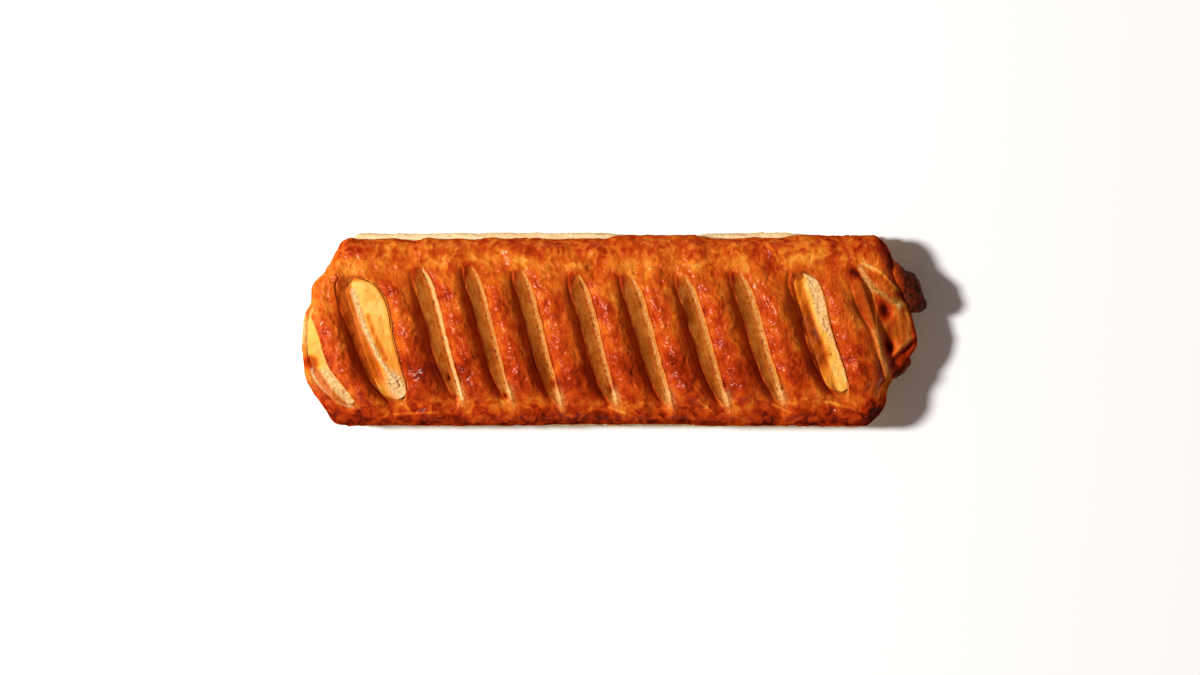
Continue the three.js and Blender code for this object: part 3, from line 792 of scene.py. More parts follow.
# hollows at the front ends of the closed slashes
spots += [(x, y, across, along, 0.2, height, browning, dict(film=-1, leafFace=leafFace))
          for x, y, across, along, height, browning, leafFace in (
    (-52.9, -15.0, 0.7, 1.3, -0.8, 0.4, -1),
    (-50.7, -21.6, 0.7, 1.5, -0.8, 0.4, -1),
    (-34.8, -20.8, 0.7, 1.1, -0.8, 0.35, -1),
    (-19.6, -16.8, 0.7, 1.5, -0.9, 0.45, -1),
    (-1.4, -18.8, 0.8, 2.2, -1.0, 0.5, -1),
    (17.8, -22.0, 0.6, 0.9, -0.7, 0.3, -0.6),
    (34.2, -17.6, 0.6, 1.4, -0.8, 0.4, -1),
)]
strokes = [  # path, half width, and how height, browning and other layers change there
    # the cream wall and the torn crust above it, the tan wall and the torn edge of the last strip
    ([(77.4, 19.3), (78.9, 16.9), (81.9, 13.4), (85.8, 10.6), (89.6, 8.2)], (2.3, 1.1),
     0.4, 0, dict(leafFace=1.2, film=-1)),
    ([(78.2, 21.4), (84.0, 18.6), (90.4, 12.3), (93.3, 9.8)], 0.9, 0.3, -0.3, {}),
    ([(84.4, 14.2), (89.4, 10.8)], 2.0, 0, -0.08, dict(film=-1)),
    ([(82.1, -0.2), (84.0, -6.9), (86.2, -14.6)], 1.5, 0.3, -0.16, dict(leafFace=0.5)),
    # strands that fan out from the star in the flap
    ([(90.4, 8.2), (87.5, 3.7), (85.9, 1.1)], 1.3, 0.14, -0.12, dict(tan=0.42)),
    ([(90.4, 8.2), (94.9, 8.5)], 1.3, 0.3, -0.3, dict(tan=0.7, char=-0.6)),
    ([(90.4, 8.2), (90.2, 3.4), (91.4, -2.4)], 1.3, 0.12, -0.12, dict(tan=0.42)),
    ([(92.4, 6.8), (93.6, 2.6), (93.0, -2.0)], 1.3, 0.1, -0.12, dict(tan=0.36)),
    ([(88.8, 1.0), (89.4, -4.6)], 1.2, 0.1, -0.1, dict(tan=0.36)),
    # the fold under the flap, light above and dark below
    ([(95.8, -1.4), (92.6, -4.0), (88.0, -7.6)], 1.4, 0.3, -0.2, dict(tan=0.45)),
    ([(96.0, -3.0), (92.9, -5.6), (88.4, -9.2), (87.5, -12.2)], 1.4, -0.25, 0.16, dict(film=-1)),
    ([(94.8, -9.4), (92.3, -12.4), (89.4, -14.4)], 1.7, 0, 0.35, dict(char=0.8, film=-1)),
    # pale flakes on the front margin
    ([(26.0, -22.0), (30.5, -25.6)], 0.6, 0.35, -0.26, {}),
    ([(50.0, -23.4), (55.6, -26.2)], 0.7, 0.35, -0.24, {}),
    ([(66.6, -22.6), (76.0, -25.0)], 0.9, 0.3, -0.28, {}),
    ([(-70.0, -26.6), (-56.0, -26.0)], 0.7, 0.3, -0.2, {}),
    ([(-2.0, -24.6), (3.0, -26.4)], 0.7, 0.3, -0.22, {}),
]


def applyMarks(x, y, layers):
    weights = [softSpot(x, y, mark[:2], mark[2:4], mark[4]) for mark in spots]
    weights += [stroke(x, y, *mark[:2]) for mark in strokes]
    for weight, (*_, height, browning, others) in zip(weights, spots + strokes):
        for name, change in dict(others, height=height, browning=browning).items():
            layers[name] += change * weight


# columns across the lid: for every column its band, which one it is and its share of the band
def lidColumns():
    columns = [("left", 0, share) for share in np.arange(lid["leftEndColumns"]) / lid["leftEndColumns"]]
    for n, slash in enumerate(slashes):
        start, end = floorShares(slash)
        shares = [*np.linspace(0, start, lid["leftWall"], endpoint=False),
                  *np.linspace(start, end, lid["floorColumns"], endpoint=False),
                  *np.linspace(end, 1, lid["rightWall"] + 1)]
        columns += [("slash", n, share) for share in shares]
        if slash is lastSlash:
            columns += [("right", n, (k + 1) / lid["rightEndColumns"]) for k in range(lid["rightEndColumns"])]
        else:
            columns += [("strip", n, (k + 1) / (lid["stripColumns"] + 1)) for k in range(lid["stripColumns"])]
    return columns


# depth across a slash, from its left edge to its right one: a scoop with a steeper right wall
closedProfile = ((0, 0.15, 0.3, 0.45, 0.58, 0.68, 0.78, 0.88, 0.95, 1),
                 (0.3, 0.52, 0.72, 0.87, 0.97, 1, 0.9, 0.6, 0.26, 0))
openProfile = ((0, 0.08, 0.16, 0.24, 0.3, 0.9, 0.95, 1), (0.3, 0.5, 0.7, 0.88, 1, 1, 0.6, 0))


# the wall in the strip's shade: red-brown at its shoulder, then tan and smooth
def shadedWall(n, deep, alongCut):
    slash = slashes[n]
    look = {
        "browning": mix(tones["margin"], mix(*tones["shadedWall"], smooth(deep * 2)), alongCut),
        "film": alongCut * ease(deep, -0.12, 0.65),
        "tan": mix(0.62, 0.3, smooth(deep / 0.8)),
        "leafFace": alongCut * 0.2 * ease(deep, 0.75, 0.4),
    }
    if "risen" in slash:
        look.update(film=0.45 * look["film"], tan=mix(0.22, 0.4, smooth(deep)), leafFace=0)
    if "pinch" in slash:
        look.update(browning=tones["pinchedWall"], film=0.25 * look["film"], tan=0.2)
    if slash is firstSlash:  # thin pale dough left of the end's cheese
        look.update(leafFace=0.7 * alongCut, tan=0.9)
    return look


# the wall in the light: cheese film at its foot, dry cream leaves above, dark dots in between
def litWall(n, at, rise, y, alongCut):
    slash = slashes[n]
    look = {
        "browning": mix(tones["margin"], mix(*tones["litWall"], smooth(rise * 2)), alongCut),
        "leafFace": alongCut * ease(rise, 1, -0.2) * mix(0.1, 0.9, ease(rise, 0.15, 0.4)),
        "film": alongCut * ease(rise, 1, -0.3),
        "tan": mix(0.15, slash.get("cream", cut["cream"]), ease(rise, 0.1, 0.3)),
    }
    if "risen" in slash:
        look["leafFace"] = look["leafFace"] * ease(rise, 0.75, -0.3)
    else:
        dots = ease(grain(y / 1.0, 4.7 * n, 3.3 + at * 6), 0.22, 0.2) * smooth(1 - np.abs(rise - 0.15) / 0.35)
        look["char"] = alongCut * dots * 0.8
    if slash is lastSlash:  # it runs on into the torn flap
        look.update(film=0.6 * alongCut, leafFace=0, tan=0.3)
    return look


def slashColumn(n, at, y, keys):
    slash = slashes[n]
    start, end = floorShares(slash)
    stops = (0, 0.5 * start, start, end, 1)
    k = min(int(np.searchsorted(stops, at, side="right")) - 1, 3)
    x = mix(keys[n, k], keys[n, k + 1], (at - stops[k]) / (stops[k + 1] - stops[k]))
    onLeft = at < (start + end) / 2
    sides = slashes[max(n - 1, 0):n + 1] if onLeft else slashes[n:n + 2]
    bulge = stripBulge(float(onLeft), y, *sides) if len(sides) == 2 else 0
    depth = np.interp(at, *(openProfile if "risen" in slash else closedProfile))
    depth = depth * mix(cut["pinchedDepth"], 1, unpinched(slash, y)) * opened(slash, y)
    alongCut = smooth(opened(slash, y) * 3)
    rise = (at - end) / (1 - end)
    wall = shadedWall(n, at / start, alongCut) if onLeft else litWall(n, at, rise, y, alongCut)
    return {
        "x": x,
        "height": crustHeight(x, y) + mix(bulge, -slash.get("depth", cut["depth"]), depth),
        "skin": 1 - opened(slash, y) * (smooth(at / 0.25) if onLeft else smooth((1 - at) / 0.06)),
        "glaze": mix(1, 0.35 if onLeft else 0.0, alongCut * smooth(at / 0.3)),
        **wall,
    }


# how far the skin falls towards the cut on its right, from a share of its width on
def fallToCut(at, start, slash, y):
    depth = lid["cutFall"] * slash.get("depth", cut["depth"])
    return depth * ease(at, start, 1 - start) * smooth(opened(slash, y) * 3)


def stripColumn(n, at, y, keys):
    left, right = slashes[n], slashes[n + 1]
    x = mix(keys[n, 4], keys[n + 1, 0], at)
    length = stripLength(y, left, right)
    alongCut = smooth(opened(right, y) * 3)
    # paler at the left edge, partly the edge's own lighter bake and partly painted light where it faces the
    # lamp; paler on the crown's right shoulder and down the flank, most on the back half, as painted light
    # against the shade there; browner towards the front end
    tone = tones["strip"] - 0.03 * (1 - smooth(at / 0.22)) - 0.12 * softSpot(at, 0, (0.7, 0), (0.16, 1))
    tone = tone - 0.02 * ease(at, 0.8, 0.2) - 0.05 * ease(at, 0.6, 0.2) * ease(y, 3, 7)
    tone = tone + 0.07 * softSpot(at, y, (0.75, -11), (0.3, 9)) + 0.09 * ease(y, -5, -8)
    # painted light: the last strip's flank is made paler still against its shade
    if right is lastSlash:
        tone = tone - 0.08 * ease(at, 0.66, 0.2)
    return {
        "x": x,
        "height": crustHeight(x, y) + stripBulge(at, y, left, right) - fallToCut(at, 0.86, right, y),
        "browning": mix(tones["margin"], tone, length),
        "glaze": 1 - 0.75 * ease(at, 0.87, 0.15) * alongCut,
        "skin": 1 - 0.85 * ease(at, 0.84, 0.1) * alongCut,
        "flank": 0.75 * ease(at, 0.62, 0.2) * alongCut,
    }


def leftColumn(n, at, y, keys):
    x = mix(leftEnd(y), keys[0, 0], at)
    return {
        "x": x,
        "height": crustHeight(x, y) - fallToCut(at, 0.4, firstSlash, y),
        "browning": tones["leftEnd"],
        "glaze": 1,
    }


def rightColumn(n, at, y, keys):
    x = mix(keys[n, 4], rightEnd(y), at)
    flap = ease(y, -22, 5) * smooth((tearLine(x) - y) / 2.0)
    far = ease(x, 89, 6)
    drop = 1 - smooth((x - slashCentre(lastSlash, y) - 2) / 2.5)
    return {
        "x": x,
        "height": crustHeight(x, y),
        "browning": mix(tones["rightEnd"], mix(*tones["flap"], far), flap),
        "film": 0.3 * flap,
        "tan": 0.02 + 0.3 * far + 0.4 * drop,
        "glaze": 1 - 0.5 * flap,
        "skin": 1 - 0.6 * flap,
    }


columnKinds = {"left": leftColumn, "slash": slashColumn, "strip": stripColumn, "right": rightColumn}
# what every point of the lid has, and where it starts: the skin's share of relief, where a strip
# falls off smoothly to its right, and the layers that the crust material reads
lidLayers = {"x": 0.0, "height": 0.0, "skin": 1.0, "flank": 0.0,
             "browning": 0.0, "leafFace": 0.0, "film": 0.0, "tan": 0.0, "char": 0.0, "glaze": 0.0}


# blisters, long wrinkles that follow the strips and turn along the margins, and fine crinkles
def addSkin(x, y, inside, skin, flank, layers):
    lean = x + lid["skinLean"] * y
    margin = ease(np.abs(y), 18, 5)
    warpU, warpV = grain(lean / 5, y / 7, 3.3), 1.6 * grain(lean / 5, y / 7, 9.1)
    wrinkle, crinkle = (
        mix(ridges((lean + bend * warpU) / wide, (y + 1.5 * warpV) / long, seed),
            ridges((x + bend * warpU) / marginLong, (y + warpV) / marginWide, marginSeed), margin) - 0.35
        for bend, wide, long, seed, marginLong, marginWide, marginSeed in (
            (1.2, 2.1, 4.0, 0.4, 4.6, 1.9, 0.9), (1.6, 1.2, 2.1, 5.2, 2.6, 1.2, 5.9)))
    lively = 0.45 + 0.55 * smooth(grain(lean / 5, y / 6, 44.1) + 0.6)
    relief = lid["blister"] * grain(lean / 3.4, y / 5.0, 12.7) + lid["crinkle"] * crinkle
    relief += mix(1.0, 0.5, margin) * lid["wrinkle"] * lively * wrinkle
    layers["height"] += skin * relief * smooth(inside / 2)
    layers["relief"] = 0.1 + 0.9 * skin * mix(0.5, 1, lively) * (1 - flank) * (1 - 0.4 * margin)
    layers["blotch"] = mix(0.3, 1.0, margin) * skin * (1 - flank)
    # browning: patches, fewer down the flank; paler where the skin stands up in wrinkles, a painted highlight
    # along their crests; and the flank, which faces away from the lamp, a little browner as painted shade
    patches = grain(lean / 6.5, y / 7.5, 31.2) + 0.7 * grain(x / 3.0, y / 2.6, 35.7)
    patches = mix(*tones["patches"], margin) * patches - 0.1 * wrinkle * (1 - margin)
    layers["browning"] += 0.04 * flank + skin * (1 - 0.6 * flank) * patches


# paler skin round the two ends of a slash, painted shade in a pocket at the back one, dry crumbs in the front
# one
def markSlashEnds(x, y, layers):
    frontTone, backTone = tones["slashEnds"]
    for slash in slashes[1:]:
        front, back = slash["front"], slash["back"]
        frontX, backX = slashCentre(slash, front - 1.0), slashCentre(slash, back + 1.0)
        # painted shade: the pocket at the back end, where the strip's shade falls, is browned and, in closed
        # slashes, loses its pale film and leaves
        shadedPocket = softSpot(x, y, (backX - 0.3, back - 1.8), (1.5, 2.3), 0.3)
        layers["browning"] += frontTone * softSpot(x, y, (frontX + 1.2, front - 1.4), (3.4, 2.2), -0.6)
        layers["browning"] += backTone * softSpot(x, y, (backX + 2.0, back + 2.6), (5.5, 2.6)) + 0.1 * shadedPocket
        if "risen" in slash:
            continue
        layers["film"] -= 0.8 * shadedPocket
        layers["leafFace"] -= 0.8 * shadedPocket
        if "pinch" not in slash:
            crumbs = softSpot(x, y, (frontX + 0.1, front + 2.4), (3.3, 1.35), 1.85)
            layers["leafFace"] += crumbs * (0.85 + 0.7 * grain(x / 0.8, y / 0.8, 18.0))
            layers["tan"] += 0.3 * crumbs
            layers["glaze"] -= crumbs * layers["glaze"]


def lidSurface():
    even = np.linspace(0, 1, lid["rows"])
    share = even - lid["rowCrowding"] * np.sin(2 * np.pi * even)
    y = mix(pastry["front"] + lid["edgeInset"], pastry["back"] - lid["edgeInset"], share)
    keys = rowKeys(y)
    for n, slash in enumerate(slashes):
        ragged = lid["raggedCut"] * (1 - np.abs(slashReach(slash, y)) ** 8)
        keys[n, 0] += ragged * grain(y / 4.0, 3.1 * n, 1.5)
        keys[n, 2:4] += ragged * grain(y / 3.0, 3.1 * n, 5.5)
        keys[n, 4] += ragged * (grain(y / 3.0, 3.1 * n, 9.5) + 0.7 * grain(y / 1.1, 3.1 * n, 2.5))
    columns = lidColumns()
    layers = {name: np.full((len(y), len(columns)), start) for name, start in lidLayers.items()}
    for c, (kind, n, at) in enumerate(columns):
        for name, values in columnKinds[kind](n, at, y, keys).items():
            layers[name][:, c] = values
    x, skin, flank = (layers.pop(name) for name in ("x", "skin", "flank"))
    y = np.repeat(y[:, None], len(columns), axis=1)
    inside = insideRim(x, y)
    addSkin(x, y, inside, skin, flank, layers)
    markSlashEnds(x, y, layers)
    # the front margin and the rims are darker, and the rims dry
    front = y < 0
    layers["browning"] += np.where(front, *tones["margins"]) * ease(np.abs(y), 22, 5)
    layers["browning"] += np.where(front | (x < -84), *tones["rims"]) * (1 - ease(inside, 0.2, 2.2))
    layers["glaze"] *= ease(inside, 1.0, 2.8)
    applyMarks(x, y, layers)
    layers["browning"] = np.clip(layers["browning"], 0.04, 0.96)
    for name in ("leafFace", "film", "tan", "char"):
        layers[name] = np.clip(layers[name], 0, 1)
    shift = np.where(share[:, None] < 0.5, edgeWander(x, 1) + ledgeDepth(x, frontLedges),
                     edgeWander(x, -1) - ledgeDepth(x, backLedges))
    y = y + shift * (np.abs(2 * share - 1) ** 6)[:, None]
    return np.stack([x, y, layers.pop("height")], axis=-1), layers


def cavityOutline(x, y):
    front, back, left, right = lid["cavityEdges"]
    innerY = np.clip(y, pastry["front"] + front, pastry["back"] - back)
    return np.clip(x, leftEnd(innerY) + left, rightEnd(innerY) - right), innerY


def makeLid():
    surface, layers = lidSurface()
    rows, columns = surface.shape[:2]
    piece = gridPiece("glazedLid", columns, rows)
    writePoints(piece, surface.reshape(-1, 3))
    paint(piece, layers)
    rim = rimOrder(columns, rows)
    levels = lid["sideLevels"]
    rings = extrudeRim(piece, rim, levels + 2)
    points = readPoints(piece)
    edge = points[rim]
    edgeX, edgeY, edgeZ = edge.T
    away = outwards(edge[:, :2])
    painted = {name: piece.data.attributes[name].data for name in layers}
    colours = {name: readAll(data, "value", np.float32).astype(float) for name, data in painted.items()}
    for level in range(1, levels + 1):
        share = 1 - level / levels
        zPlain = mix(lid["bottom"], lid["rimShoulder"], share)
        leaf = grain(edgeX / 6, edgeY / 6, 60.0) * 0.7 + zPlain / 1.3
        push = lid["leafRelief"] * lumpNoise(edgeX / 5, edgeY / 5, zPlain / 0.53)
        push += 0.35 * (leaf - np.floor(leaf) - 0.5)
        push += 0.2 * grain(edgeX / 1.6, edgeY / 1.6, 70 + zPlain / 0.6)
        push *= smooth((1 - share) / 0.2)
        side = edge[:, :2] + away * push[:, None]
        points[rings[level]] = np.column_stack([side, mix(lid["bottom"], edgeZ, share)])
        fresh = grain(edgeX / 7, edgeY / 7, 80 + zPlain / 1.4)
        look = {
            "browning": np.clip(mix(0.4, 0.58, share) + 0.2 * fresh, 0, 1),
            "leafFace": np.clip(mix(0.6, 0.0, smooth(share * 1.3)) + 0.35 * fresh, 0, 0.8),
            "film": 0, "tan": 0.3, "glaze": 0, "blotch": 0.5, "relief": 0.3,
            "char": 0.8 * colours["char"][rings[level]],
        }
        for name, values in look.items():
            colours[name][rings[level]] = values
    inner = np.column_stack(cavityOutline(edgeX, edgeY))
    for ring, height in zip(rings[levels + 1:], (lid["bottom"], lid["cavityTop"])):
        points[ring] = np.column_stack([inner, np.full(len(rim), height)])
    writePoints(piece, points)
    paint(piece, colours)
    openFloors(piece, rows, columns)
    return piece


# opens the floors of the two slashes that the filling rose through, down to the cavity
def openFloors(piece, rows, columns):
    kinds = lidColumns()
    surfaceY = readPoints(piece)[:rows * columns, 1].reshape(rows, columns)
    chosen = np.zeros((rows - 1, columns - 1), bool)
    start, end = cut["openFloor"]
    # this takes in the narrow column beside the strip too, which leaves a thin slit on the right
    for c, ((kind, n, at), (_, _, nextAt)) in enumerate(zip(kinds, kinds[1:])):
        if kind == "slash" and n in openSlashes and start - 1e-6 <= at and nextAt <= end + 1e-6:
            y = surfaceY[:-1, c]
            chosen[:, c] = (y > slashes[n]["front"] + 4) & (y < slashes[n]["back"] - 3)
    mesh = piece.data
    flags = np.zeros(len(mesh.polygons), bool)
    flags[:chosen.size] = chosen.ravel()
    selectOnly(piece, faces=flags)
    editMode(piece, "FACE")
    bpy.ops.mesh.delete(type="FACE")
    objectMode()
    count = len(mesh.vertices)
    editMode(piece, "EDGE")
    bpy.ops.mesh.select_all(action="DESELECT")
    bpy.ops.mesh.select_non_manifold()
    objectMode()
    picked = readAll(mesh.vertices, "select", bool)
    selectJoined(piece, picked & (readPoints(piece)[:, 2] > lid["cavityTop"] + 0.3))
    editMode(piece, "EDGE")
    extrudeBy(-0.1 * mm)
    objectMode()
    points = readPoints(piece)
    points[count:, 2] = lid["cavityTop"]
    writePoints(piece, points)
    selectJoined(piece, points[:, 2] <= lid["cavityTop"] + 1e-3)
    editMode(piece, "VERT")
    bpy.ops.mesh.remove_doubles(threshold=0.01 * mm)
    bpy.ops.mesh.select_all(action="DESELECT")
    bpy.context.tool_settings.mesh_select_mode = (False, True, False)
    bpy.ops.mesh.select_non_manifold()
    objectMode()
    fillSelected(piece)


finishPiece(makeLid(), crustMaterial, "slashed_lid")

# The leafy base sheet
base = {
    "points": 720,
    "levels": 16,
    "edges": (0, 0, 0.9, 0.9),  # front, back, left, right
    "insets": ((0, 1.5), (0.7, 0.5), (2.2, 0.15), (3.9, 0.5), (5.4, 0.1), (6.6, 0.4), (7.0, 1.3)),
    "leafRelief": 0.45,
    "backFrill": 0.8,  # how far its back edge spreads past the lid's
}


def outline(edges, inset, count):
    frontEdge, backEdge, leftEdge, rightEdge = edges
    front, back = pastry["front"] + frontEdge + inset, pastry["back"] - backEdge - inset
    start = lambda y: leftEnd(y) + leftEdge + inset
    end = lambda y: rightEnd(y) - rightEdge - inset
    along, across = np.arange(60) / 60, np.arange(24) / 24
    frontX = mix(start(front), end(front), along)
    backX = mix(end(back), start(back), along)
    endY, startY = mix(front, back, across), mix(back, front, across)
    corners = np.concatenate([
        np.column_stack([frontX, front + edgeWander(frontX, 1)]),
        np.column_stack([end(endY), endY]),
        np.column_stack([backX, back + edgeWander(backX, -1)]),
        np.column_stack([start(startY), startY]),
    ])
    loop = np.concatenate([corners, corners[:1]])
    run = np.concatenate([[0], np.cumsum(np.hypot(*np.diff(loop, axis=0).T))])
    places = np.linspace(0, run[-1], count, endpoint=False)
    return np.column_stack([np.interp(places, run, loop[:, 0]), np.interp(places, run, loop[:, 1])])


# a ring of edges extruded upwards and closed; gives the rings from the lowest to the highest
def ringPiece(name, count, levels):
    deselectAll()
    bpy.ops.mesh.primitive_circle_add(vertices=count, radius=1, fill_type="NOTHING")
    piece = named(name)
    editMode(piece, "EDGE")
    bpy.ops.mesh.select_all(action="SELECT")
    for _ in range(levels - 1):
        extrudeBy(1)
    objectMode()
    points = readPoints(piece) * mm
    turn = np.mod(np.rint(np.arctan2(points[:, 1], points[:, 0]) / (2 * np.pi / count)).astype(int), count)
    level = np.rint(points[:, 2]).astype(int)
    rings = np.zeros((levels, count), int)
    rings[level, turn] = np.arange(len(points))
    return piece, rings


def makeBase():
    levels = base["levels"]
    piece, rings = ringPiece("leafyBase", base["points"], levels)
    points = readPoints(piece)
    browning = np.zeros(len(points))
    for level in range(levels):
        z = pastry["baseThickness"] * level / (levels - 1)
        ring = outline(base["edges"], np.interp(z, *zip(*base["insets"])), base["points"])
        x, y = ring.T
        frill = np.max([smooth(np.minimum(x - start, end - x) / 5) for start, end, _ in backLedges], axis=0)
        y += base["backFrill"] * frill * ease(y, 26, 3)
        push = base["leafRelief"] * lumpNoise(x / 5, y / 5, z / 0.53)
        if 0 < level < levels - 1:
            leaf = grain(x / 6, y / 6, 40.0) * 0.8 + z / 1.1
            push += 0.3 * (leaf - np.floor(leaf) - 0.5) + 0.2 * grain(x / 1.5, y / 1.5, z / 0.5)
        points[rings[level]] = np.column_stack([ring + outwards(ring) * push[:, None], np.full(len(ring), z)])
        fresh = grain(x / 7, y / 7, 50 + z / 1.5)
        browning[rings[level]] = np.clip(0.32 + 0.25 * ease(z, 2, -2) + 0.16 * fresh, 0, 1)
    writePoints(piece, points)
    paint(piece, {"browning": browning})
    fillRings(piece, rings[0], rings[-1])
    return piece


finishPiece(makeBase(), leafMaterial, "base_sheet")

# The filling: a slab between the sheets, and what has risen into the open slashes
slab = {
    "points": 360,
    "levels": 6,
    "crown": 0.6,  # how much narrower it is all round at the top and bottom than half way up
    "rough": 0.25,
    "toast": 0.12,
}


def makeSlab():
    piece, rings = ringPiece("cheeseSlab", slab["points"], slab["levels"])
    points = readPoints(piece)
    low, high = pastry["baseThickness"] + pastry["layerGap"], lid["cavityTop"] - pastry["layerGap"]
    for level in range(slab["levels"]):
        share = level / (slab["levels"] - 1)
        inset = pastry["layerGap"] + slab["crown"] * abs(2 * share - 1) ** 3
        ring = outline(lid["cavityEdges"], inset, slab["points"])
        rough = slab["rough"] * grain(ring[:, 0] / 2, ring[:, 1] / 2, share * 3)
        ring = ring + outwards(ring) * rough[:, None]
        points[rings[level]] = np.column_stack([ring, np.full(len(ring), mix(low, high, share))])
    writePoints(piece, points)
    plain = np.zeros(len(points))
    paint(piece, {"toast": plain + slab["toast"], "curd": plain, "speck": plain})
    fillRings(piece, rings[0], rings[-1])
    return piece


finishPiece(makeSlab(), cheeseMaterial, "cheese_filling")

risen = {
    "columns": 40,
    "rows": 120,
    "foot": 9.4,
    "frontShort": 1.6,  # how far it stops short of its slash's ends
    "backShort": 1.0,
    "frontSpread": 0.6,  # how far it spreads left and how much higher it stands at its front end
    "frontRise": 1.2,
    "rounded": 0.07,  # share of its length in each rounded end
    "overlap": (1.6, 0.9),  # how far it sits into the left and right walls, which it is baked to
    "levels": 3,
}


def makeRisen(name, n, shapeIt):
    slash, levels = slashes[n], risen["levels"]
    y = np.linspace(slash["front"] + risen["frontShort"], slash["back"] - risen["backShort"], risen["rows"])
    keys = rowKeys(y)[n]
    reach = (y - y[0]) / (y[-1] - y[0])
    start = keys[2] - risen["overlap"][0] - risen["frontSpread"] * ease(reach, 0.3, -0.3)
    width = keys[3] + risen["overlap"][1] - start
    blunt = np.minimum(1, np.minimum(reach, 1 - reach) / risen["rounded"])
    tuck = (1 - np.sqrt(1 - 0.98 * (1 - blunt) ** 2)) * width / 2
    share, y = np.meshgrid(np.linspace(0, 1, risen["columns"]), y)
    reach = np.repeat(reach[:, None], risen["columns"], axis=1)
    x = (start + tuck)[:, None] + (width - 2 * tuck)[:, None] * share
    z = crustHeight(x, y) - mix(*slash["risen"], share)
    z += risen["frontRise"] * (1 - share) * ease(reach, 0.28, -0.28)
    layers = {key: np.zeros(x.shape) for key in ("toast", "curd", "speck")}
    shapeIt(x, y, z, share, reach, layers)
    piece = gridPiece(name, risen["columns"], risen["rows"])
    writePoints(piece, np.stack([x, y, z], axis=-1).reshape(-1, 3))
    paint(piece, {key: np.clip(values, 0, 1) for key, values in layers.items()})
    rim = rimOrder(risen["columns"], risen["rows"])
    rings = extrudeRim(piece, rim, levels)
    points = readPoints(piece)
    edge = points[rim]
    for level in range(1, levels + 1):
        height = mix(edge[:, 2], risen["foot"], level / levels)
        points[rings[level]] = np.column_stack([edge[:, :2], height])
    writePoints(piece, points)
    fillRings(piece, rings[-1])
    finishPiece(piece, cheeseMaterial, "cheese_filling")


# smooth pale cheese, a dry flaky foot on its left, a toasted streak, grey-cream crumbs at the front, and
# painted shade down its left side
def shapeWideSlash(x, y, z, share, reach, layers):
    body = np.clip((share - 0.2) / 0.8, 0, 1)
    z += 0.9 * np.sin(np.pi * body) * smooth(reach / 0.2) + 0.25 * grain(x / 3, y / 5, 2.2)
    z += 0.6 * (1 - smooth(share / 0.25)) + 0.12 * grain(x / 1.2, y / 2.2, 7.7) + 0.5 * ease(share, 0.8, 0.2)
    foot = stroke(x, y, [(-83.4, 12.6), (-80.2, 2.0), (-75.2, -8.8), (-69.4, -17.0)], (1.5, 1.1))
    z += foot * (0.5 + 0.4 * grain(x / 0.9, y / 0.9, 4.4))
    streak = stroke(x, y, [(-78.4, 4.5), (-76.2, -1.5), (-72.8, -9.0)], 1.4)
    z -= 0.3 * streak
    frontHalf = ease(reach, 0.6, -0.3)
    # painted shade: the left side, next to the wall in the strip's shade, is toasted darker to match it
    shadedLeftSide = (1 - smooth((share - mix(0.31, 0.2, reach)) / 0.09)) * ease(reach, 0.1, 0.1)
    layers["toast"] += 0.12 + 0.42 * streak * (0.7 + 0.4 * grain(x / 1.5, y / 3, 61.0))
    layers["toast"] += 0.1 * ease(share, 0.85, 0.15) + 0.16 * frontHalf
    layers["toast"] += mix(0.42, 0.34, frontHalf) * shadedLeftSide
    layers["toast"] += 0.3 * (1 - smooth((1 - reach) / 0.05))
    crumbs = softSpot(x, y, (-68.9, -18.0), (2.6, 4.4), 0.5)
    z += crumbs * (0.4 + 0.6 * grain(x / 1.0, y / 1.0, 8.8))
    layers["curd"] += foot * 1.1 + smooth(crumbs * 1.8)
    layers["speck"] += smooth(crumbs * 2.5) + 0.5 * softSpot(x, y, (-78.9, 12.3), (1.8, 1.6))


# a toasted run on the left, partly real toasting and partly painted shade where it slopes away from the lamp,
# glossy cheese below it, pale curds with pepper on the right
def shapeEndSlash(x, y, z, share, reach, layers):
    film = (1 - smooth((share - mix(0.38, 0.26, reach)) / 0.2)) * mix(0.2, 1, ease(reach, 0.05, 0.2))
    curds = share - mix(0.85, 0.42, ease(reach, 0.35, 0.35)) - 0.08 * grain(y / 3, 0.5, 3.0)
    curds = smooth(curds / 0.12)
    drop = softSpot(x, y, (67.8, -12.4), (1.8, 2.6), 0.3)
    z += 0.25 * grain(x / 2, y / 4, 12.2) + 0.12 * grain(x / 1.0, y / 1.6, 17.7)
    z += 0.9 * (1 - smooth(share / 0.4)) + curds * (0.3 + 0.35 * grain(x / 0.9, y / 1.1, 14.4)) + 0.8 * drop
    smear = stroke(x, y, [(60.6, 7.0), (63.4, -1.0), (67.0, -7.6)], 1.9)
    # the run on the left: real toasting, darkened further as painted shade
    layers["toast"] += 0.14 + film * mix(0.6, 0.3, ease(reach, 0.55, 0.3)) + 0.35 * ease(share, 0.84, 0.16)
    layers["toast"] += smear * mix(0.35, 0.1, film) - 0.15 * drop + 0.3 * (1 - smooth((1 - reach) / 0.08))
    layers["curd"] += curds * 0.9 * ease(share, 0.5, 0.12) - smear - 1.2 * drop
    line = [(60.2, 15.8), (63.2, 8.8), (66.0, 2.0), (67.4, -3.8), (72.2, -16.6)]
    layers["speck"] += stroke(x, y, line, 1.2)


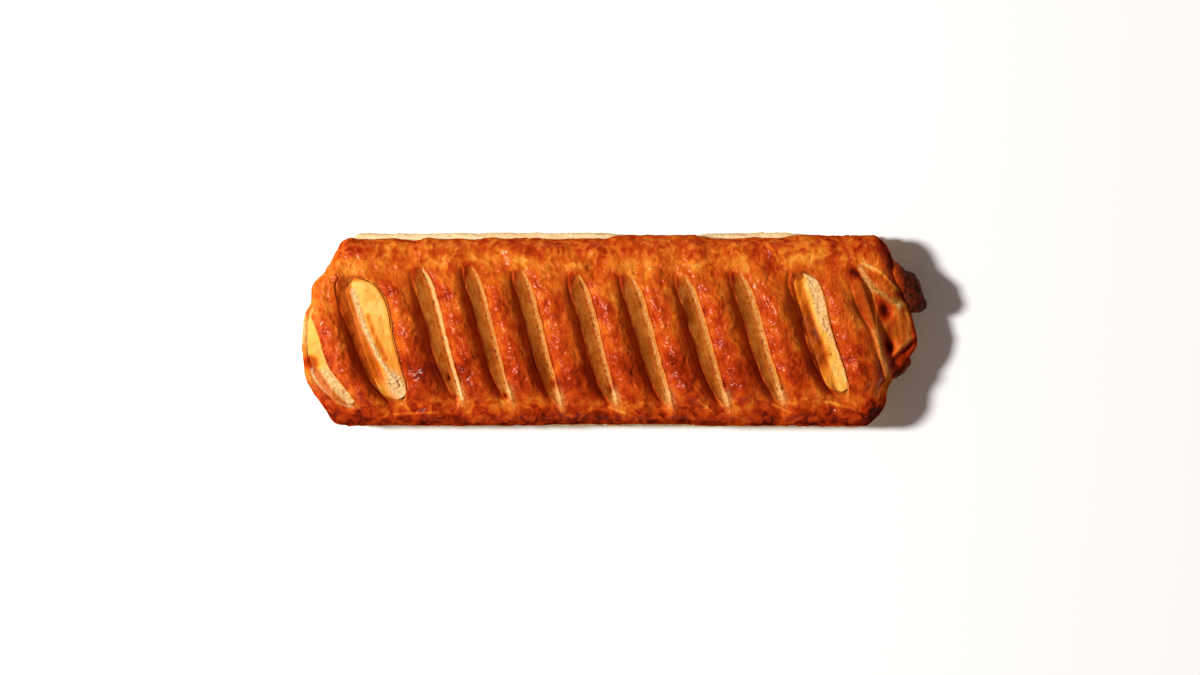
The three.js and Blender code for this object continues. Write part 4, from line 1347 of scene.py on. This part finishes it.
# a dark notch half way along, yellow cheese behind it and a pale dry crest in front of it
def shapeLeftEnd(x, y, z, share, reach, layers):
    notch = smooth(1.6 * softSpot(x, y, (-97.0, -10.4), (2.4, 2.2)))
    z += 0.3 * grain(x / 2.4, y / 4, 22.2) + 0.12 * grain(x / 1.0, y / 1.6, 27.7)
    z += 0.9 * (1 - share) - 0.9 * notch
    low, crest = ease(y, -11.5, -1.5), ease(share, 0.3, 0.25)
    layers["curd"] += low * mix(0.1, 0.9, crest)
    layers["toast"] += 0.14 + 0.6 * notch + low * mix(0.46, -0.14, crest)


makeRisen("cheeseInWideSlash", 1, shapeWideSlash)
makeRisen("cheeseInEndSlash", 9, shapeEndSlash)
makeRisen("cheeseAtLeftEnd", 0, shapeLeftEnd)

# Cheese that ran out and burnt, at the right end
leak = {
    "lumps": [  # where, how big, turned how far
        ((89.8, 16.4, 12.8), (8.0, 3.9, 5.2), -0.96),
        ((94.3, 10.4, 11.6), (5.4, 4.1, 5.8), -0.9),
        ((93.0, 14.0, 11.8), (5.4, 4.6, 5.4), -0.9),
        ((97.6, 8.5, 8.4), (2.4, 2.7, 3.2), 0),
        ((91.0, -11.6, 8.0), (5.0, 2.5, 3.6), 0.8),
        ((88.6, 10.0, 10.4), (8.0, 3.0, 2.0), 0.1),
        ((87.6, -8.8, 9.8), (7.0, 2.6, 1.6), 0.2),
    ],
    "voxel": 0.5,
    "softening": 6,
    "blister": 0.4,
}


def makeLeak():
    deselectAll()
    parts = []
    for at, size, turn in leak["lumps"]:
        bpy.ops.mesh.primitive_ico_sphere_add(subdivisions=4, radius=1, location=[v * mm for v in at],
                                              rotation=(0, 0, turn), scale=[v * mm for v in size])
        parts.append(bpy.context.active_object)
    deselectAll()
    for part in parts:
        part.select_set(True)
    bpy.context.view_layer.objects.active = parts[0]
    bpy.ops.object.join()
    piece = named("burntLeak")
    bpy.ops.object.transform_apply(location=True, rotation=True, scale=True)
    remesh = piece.modifiers.new("skin", "REMESH")
    remesh.mode = "VOXEL"
    remesh.voxel_size = leak["voxel"] * mm
    bpy.ops.object.modifier_apply(modifier="skin")
    soften = piece.modifiers.new("soften", "SMOOTH")
    soften.factor, soften.iterations = 0.5, leak["softening"]
    bpy.ops.object.modifier_apply(modifier="soften")
    points, normals = readPoints(piece), readPoints(piece, "normal")
    x, y, z = points.T
    rough = grain(x / 2.6, y / 2.6, z / 2.6) + 0.5 * grain(x / 1.1, y / 1.1, z / 1.1)
    points += normals * (leak["blister"] * rough)[:, None]
    writePoints(piece, points)
    burnt = ease(x, 88, 5) * ease(y, 2, 5) + 0.75 * ease(y, -7, -4)
    paint(piece, {"char": np.clip(0.15 + 0.75 * burnt, 0, 1)})
    return piece


finishPiece(makeLeak(), burntMaterial, "cheese_filling")
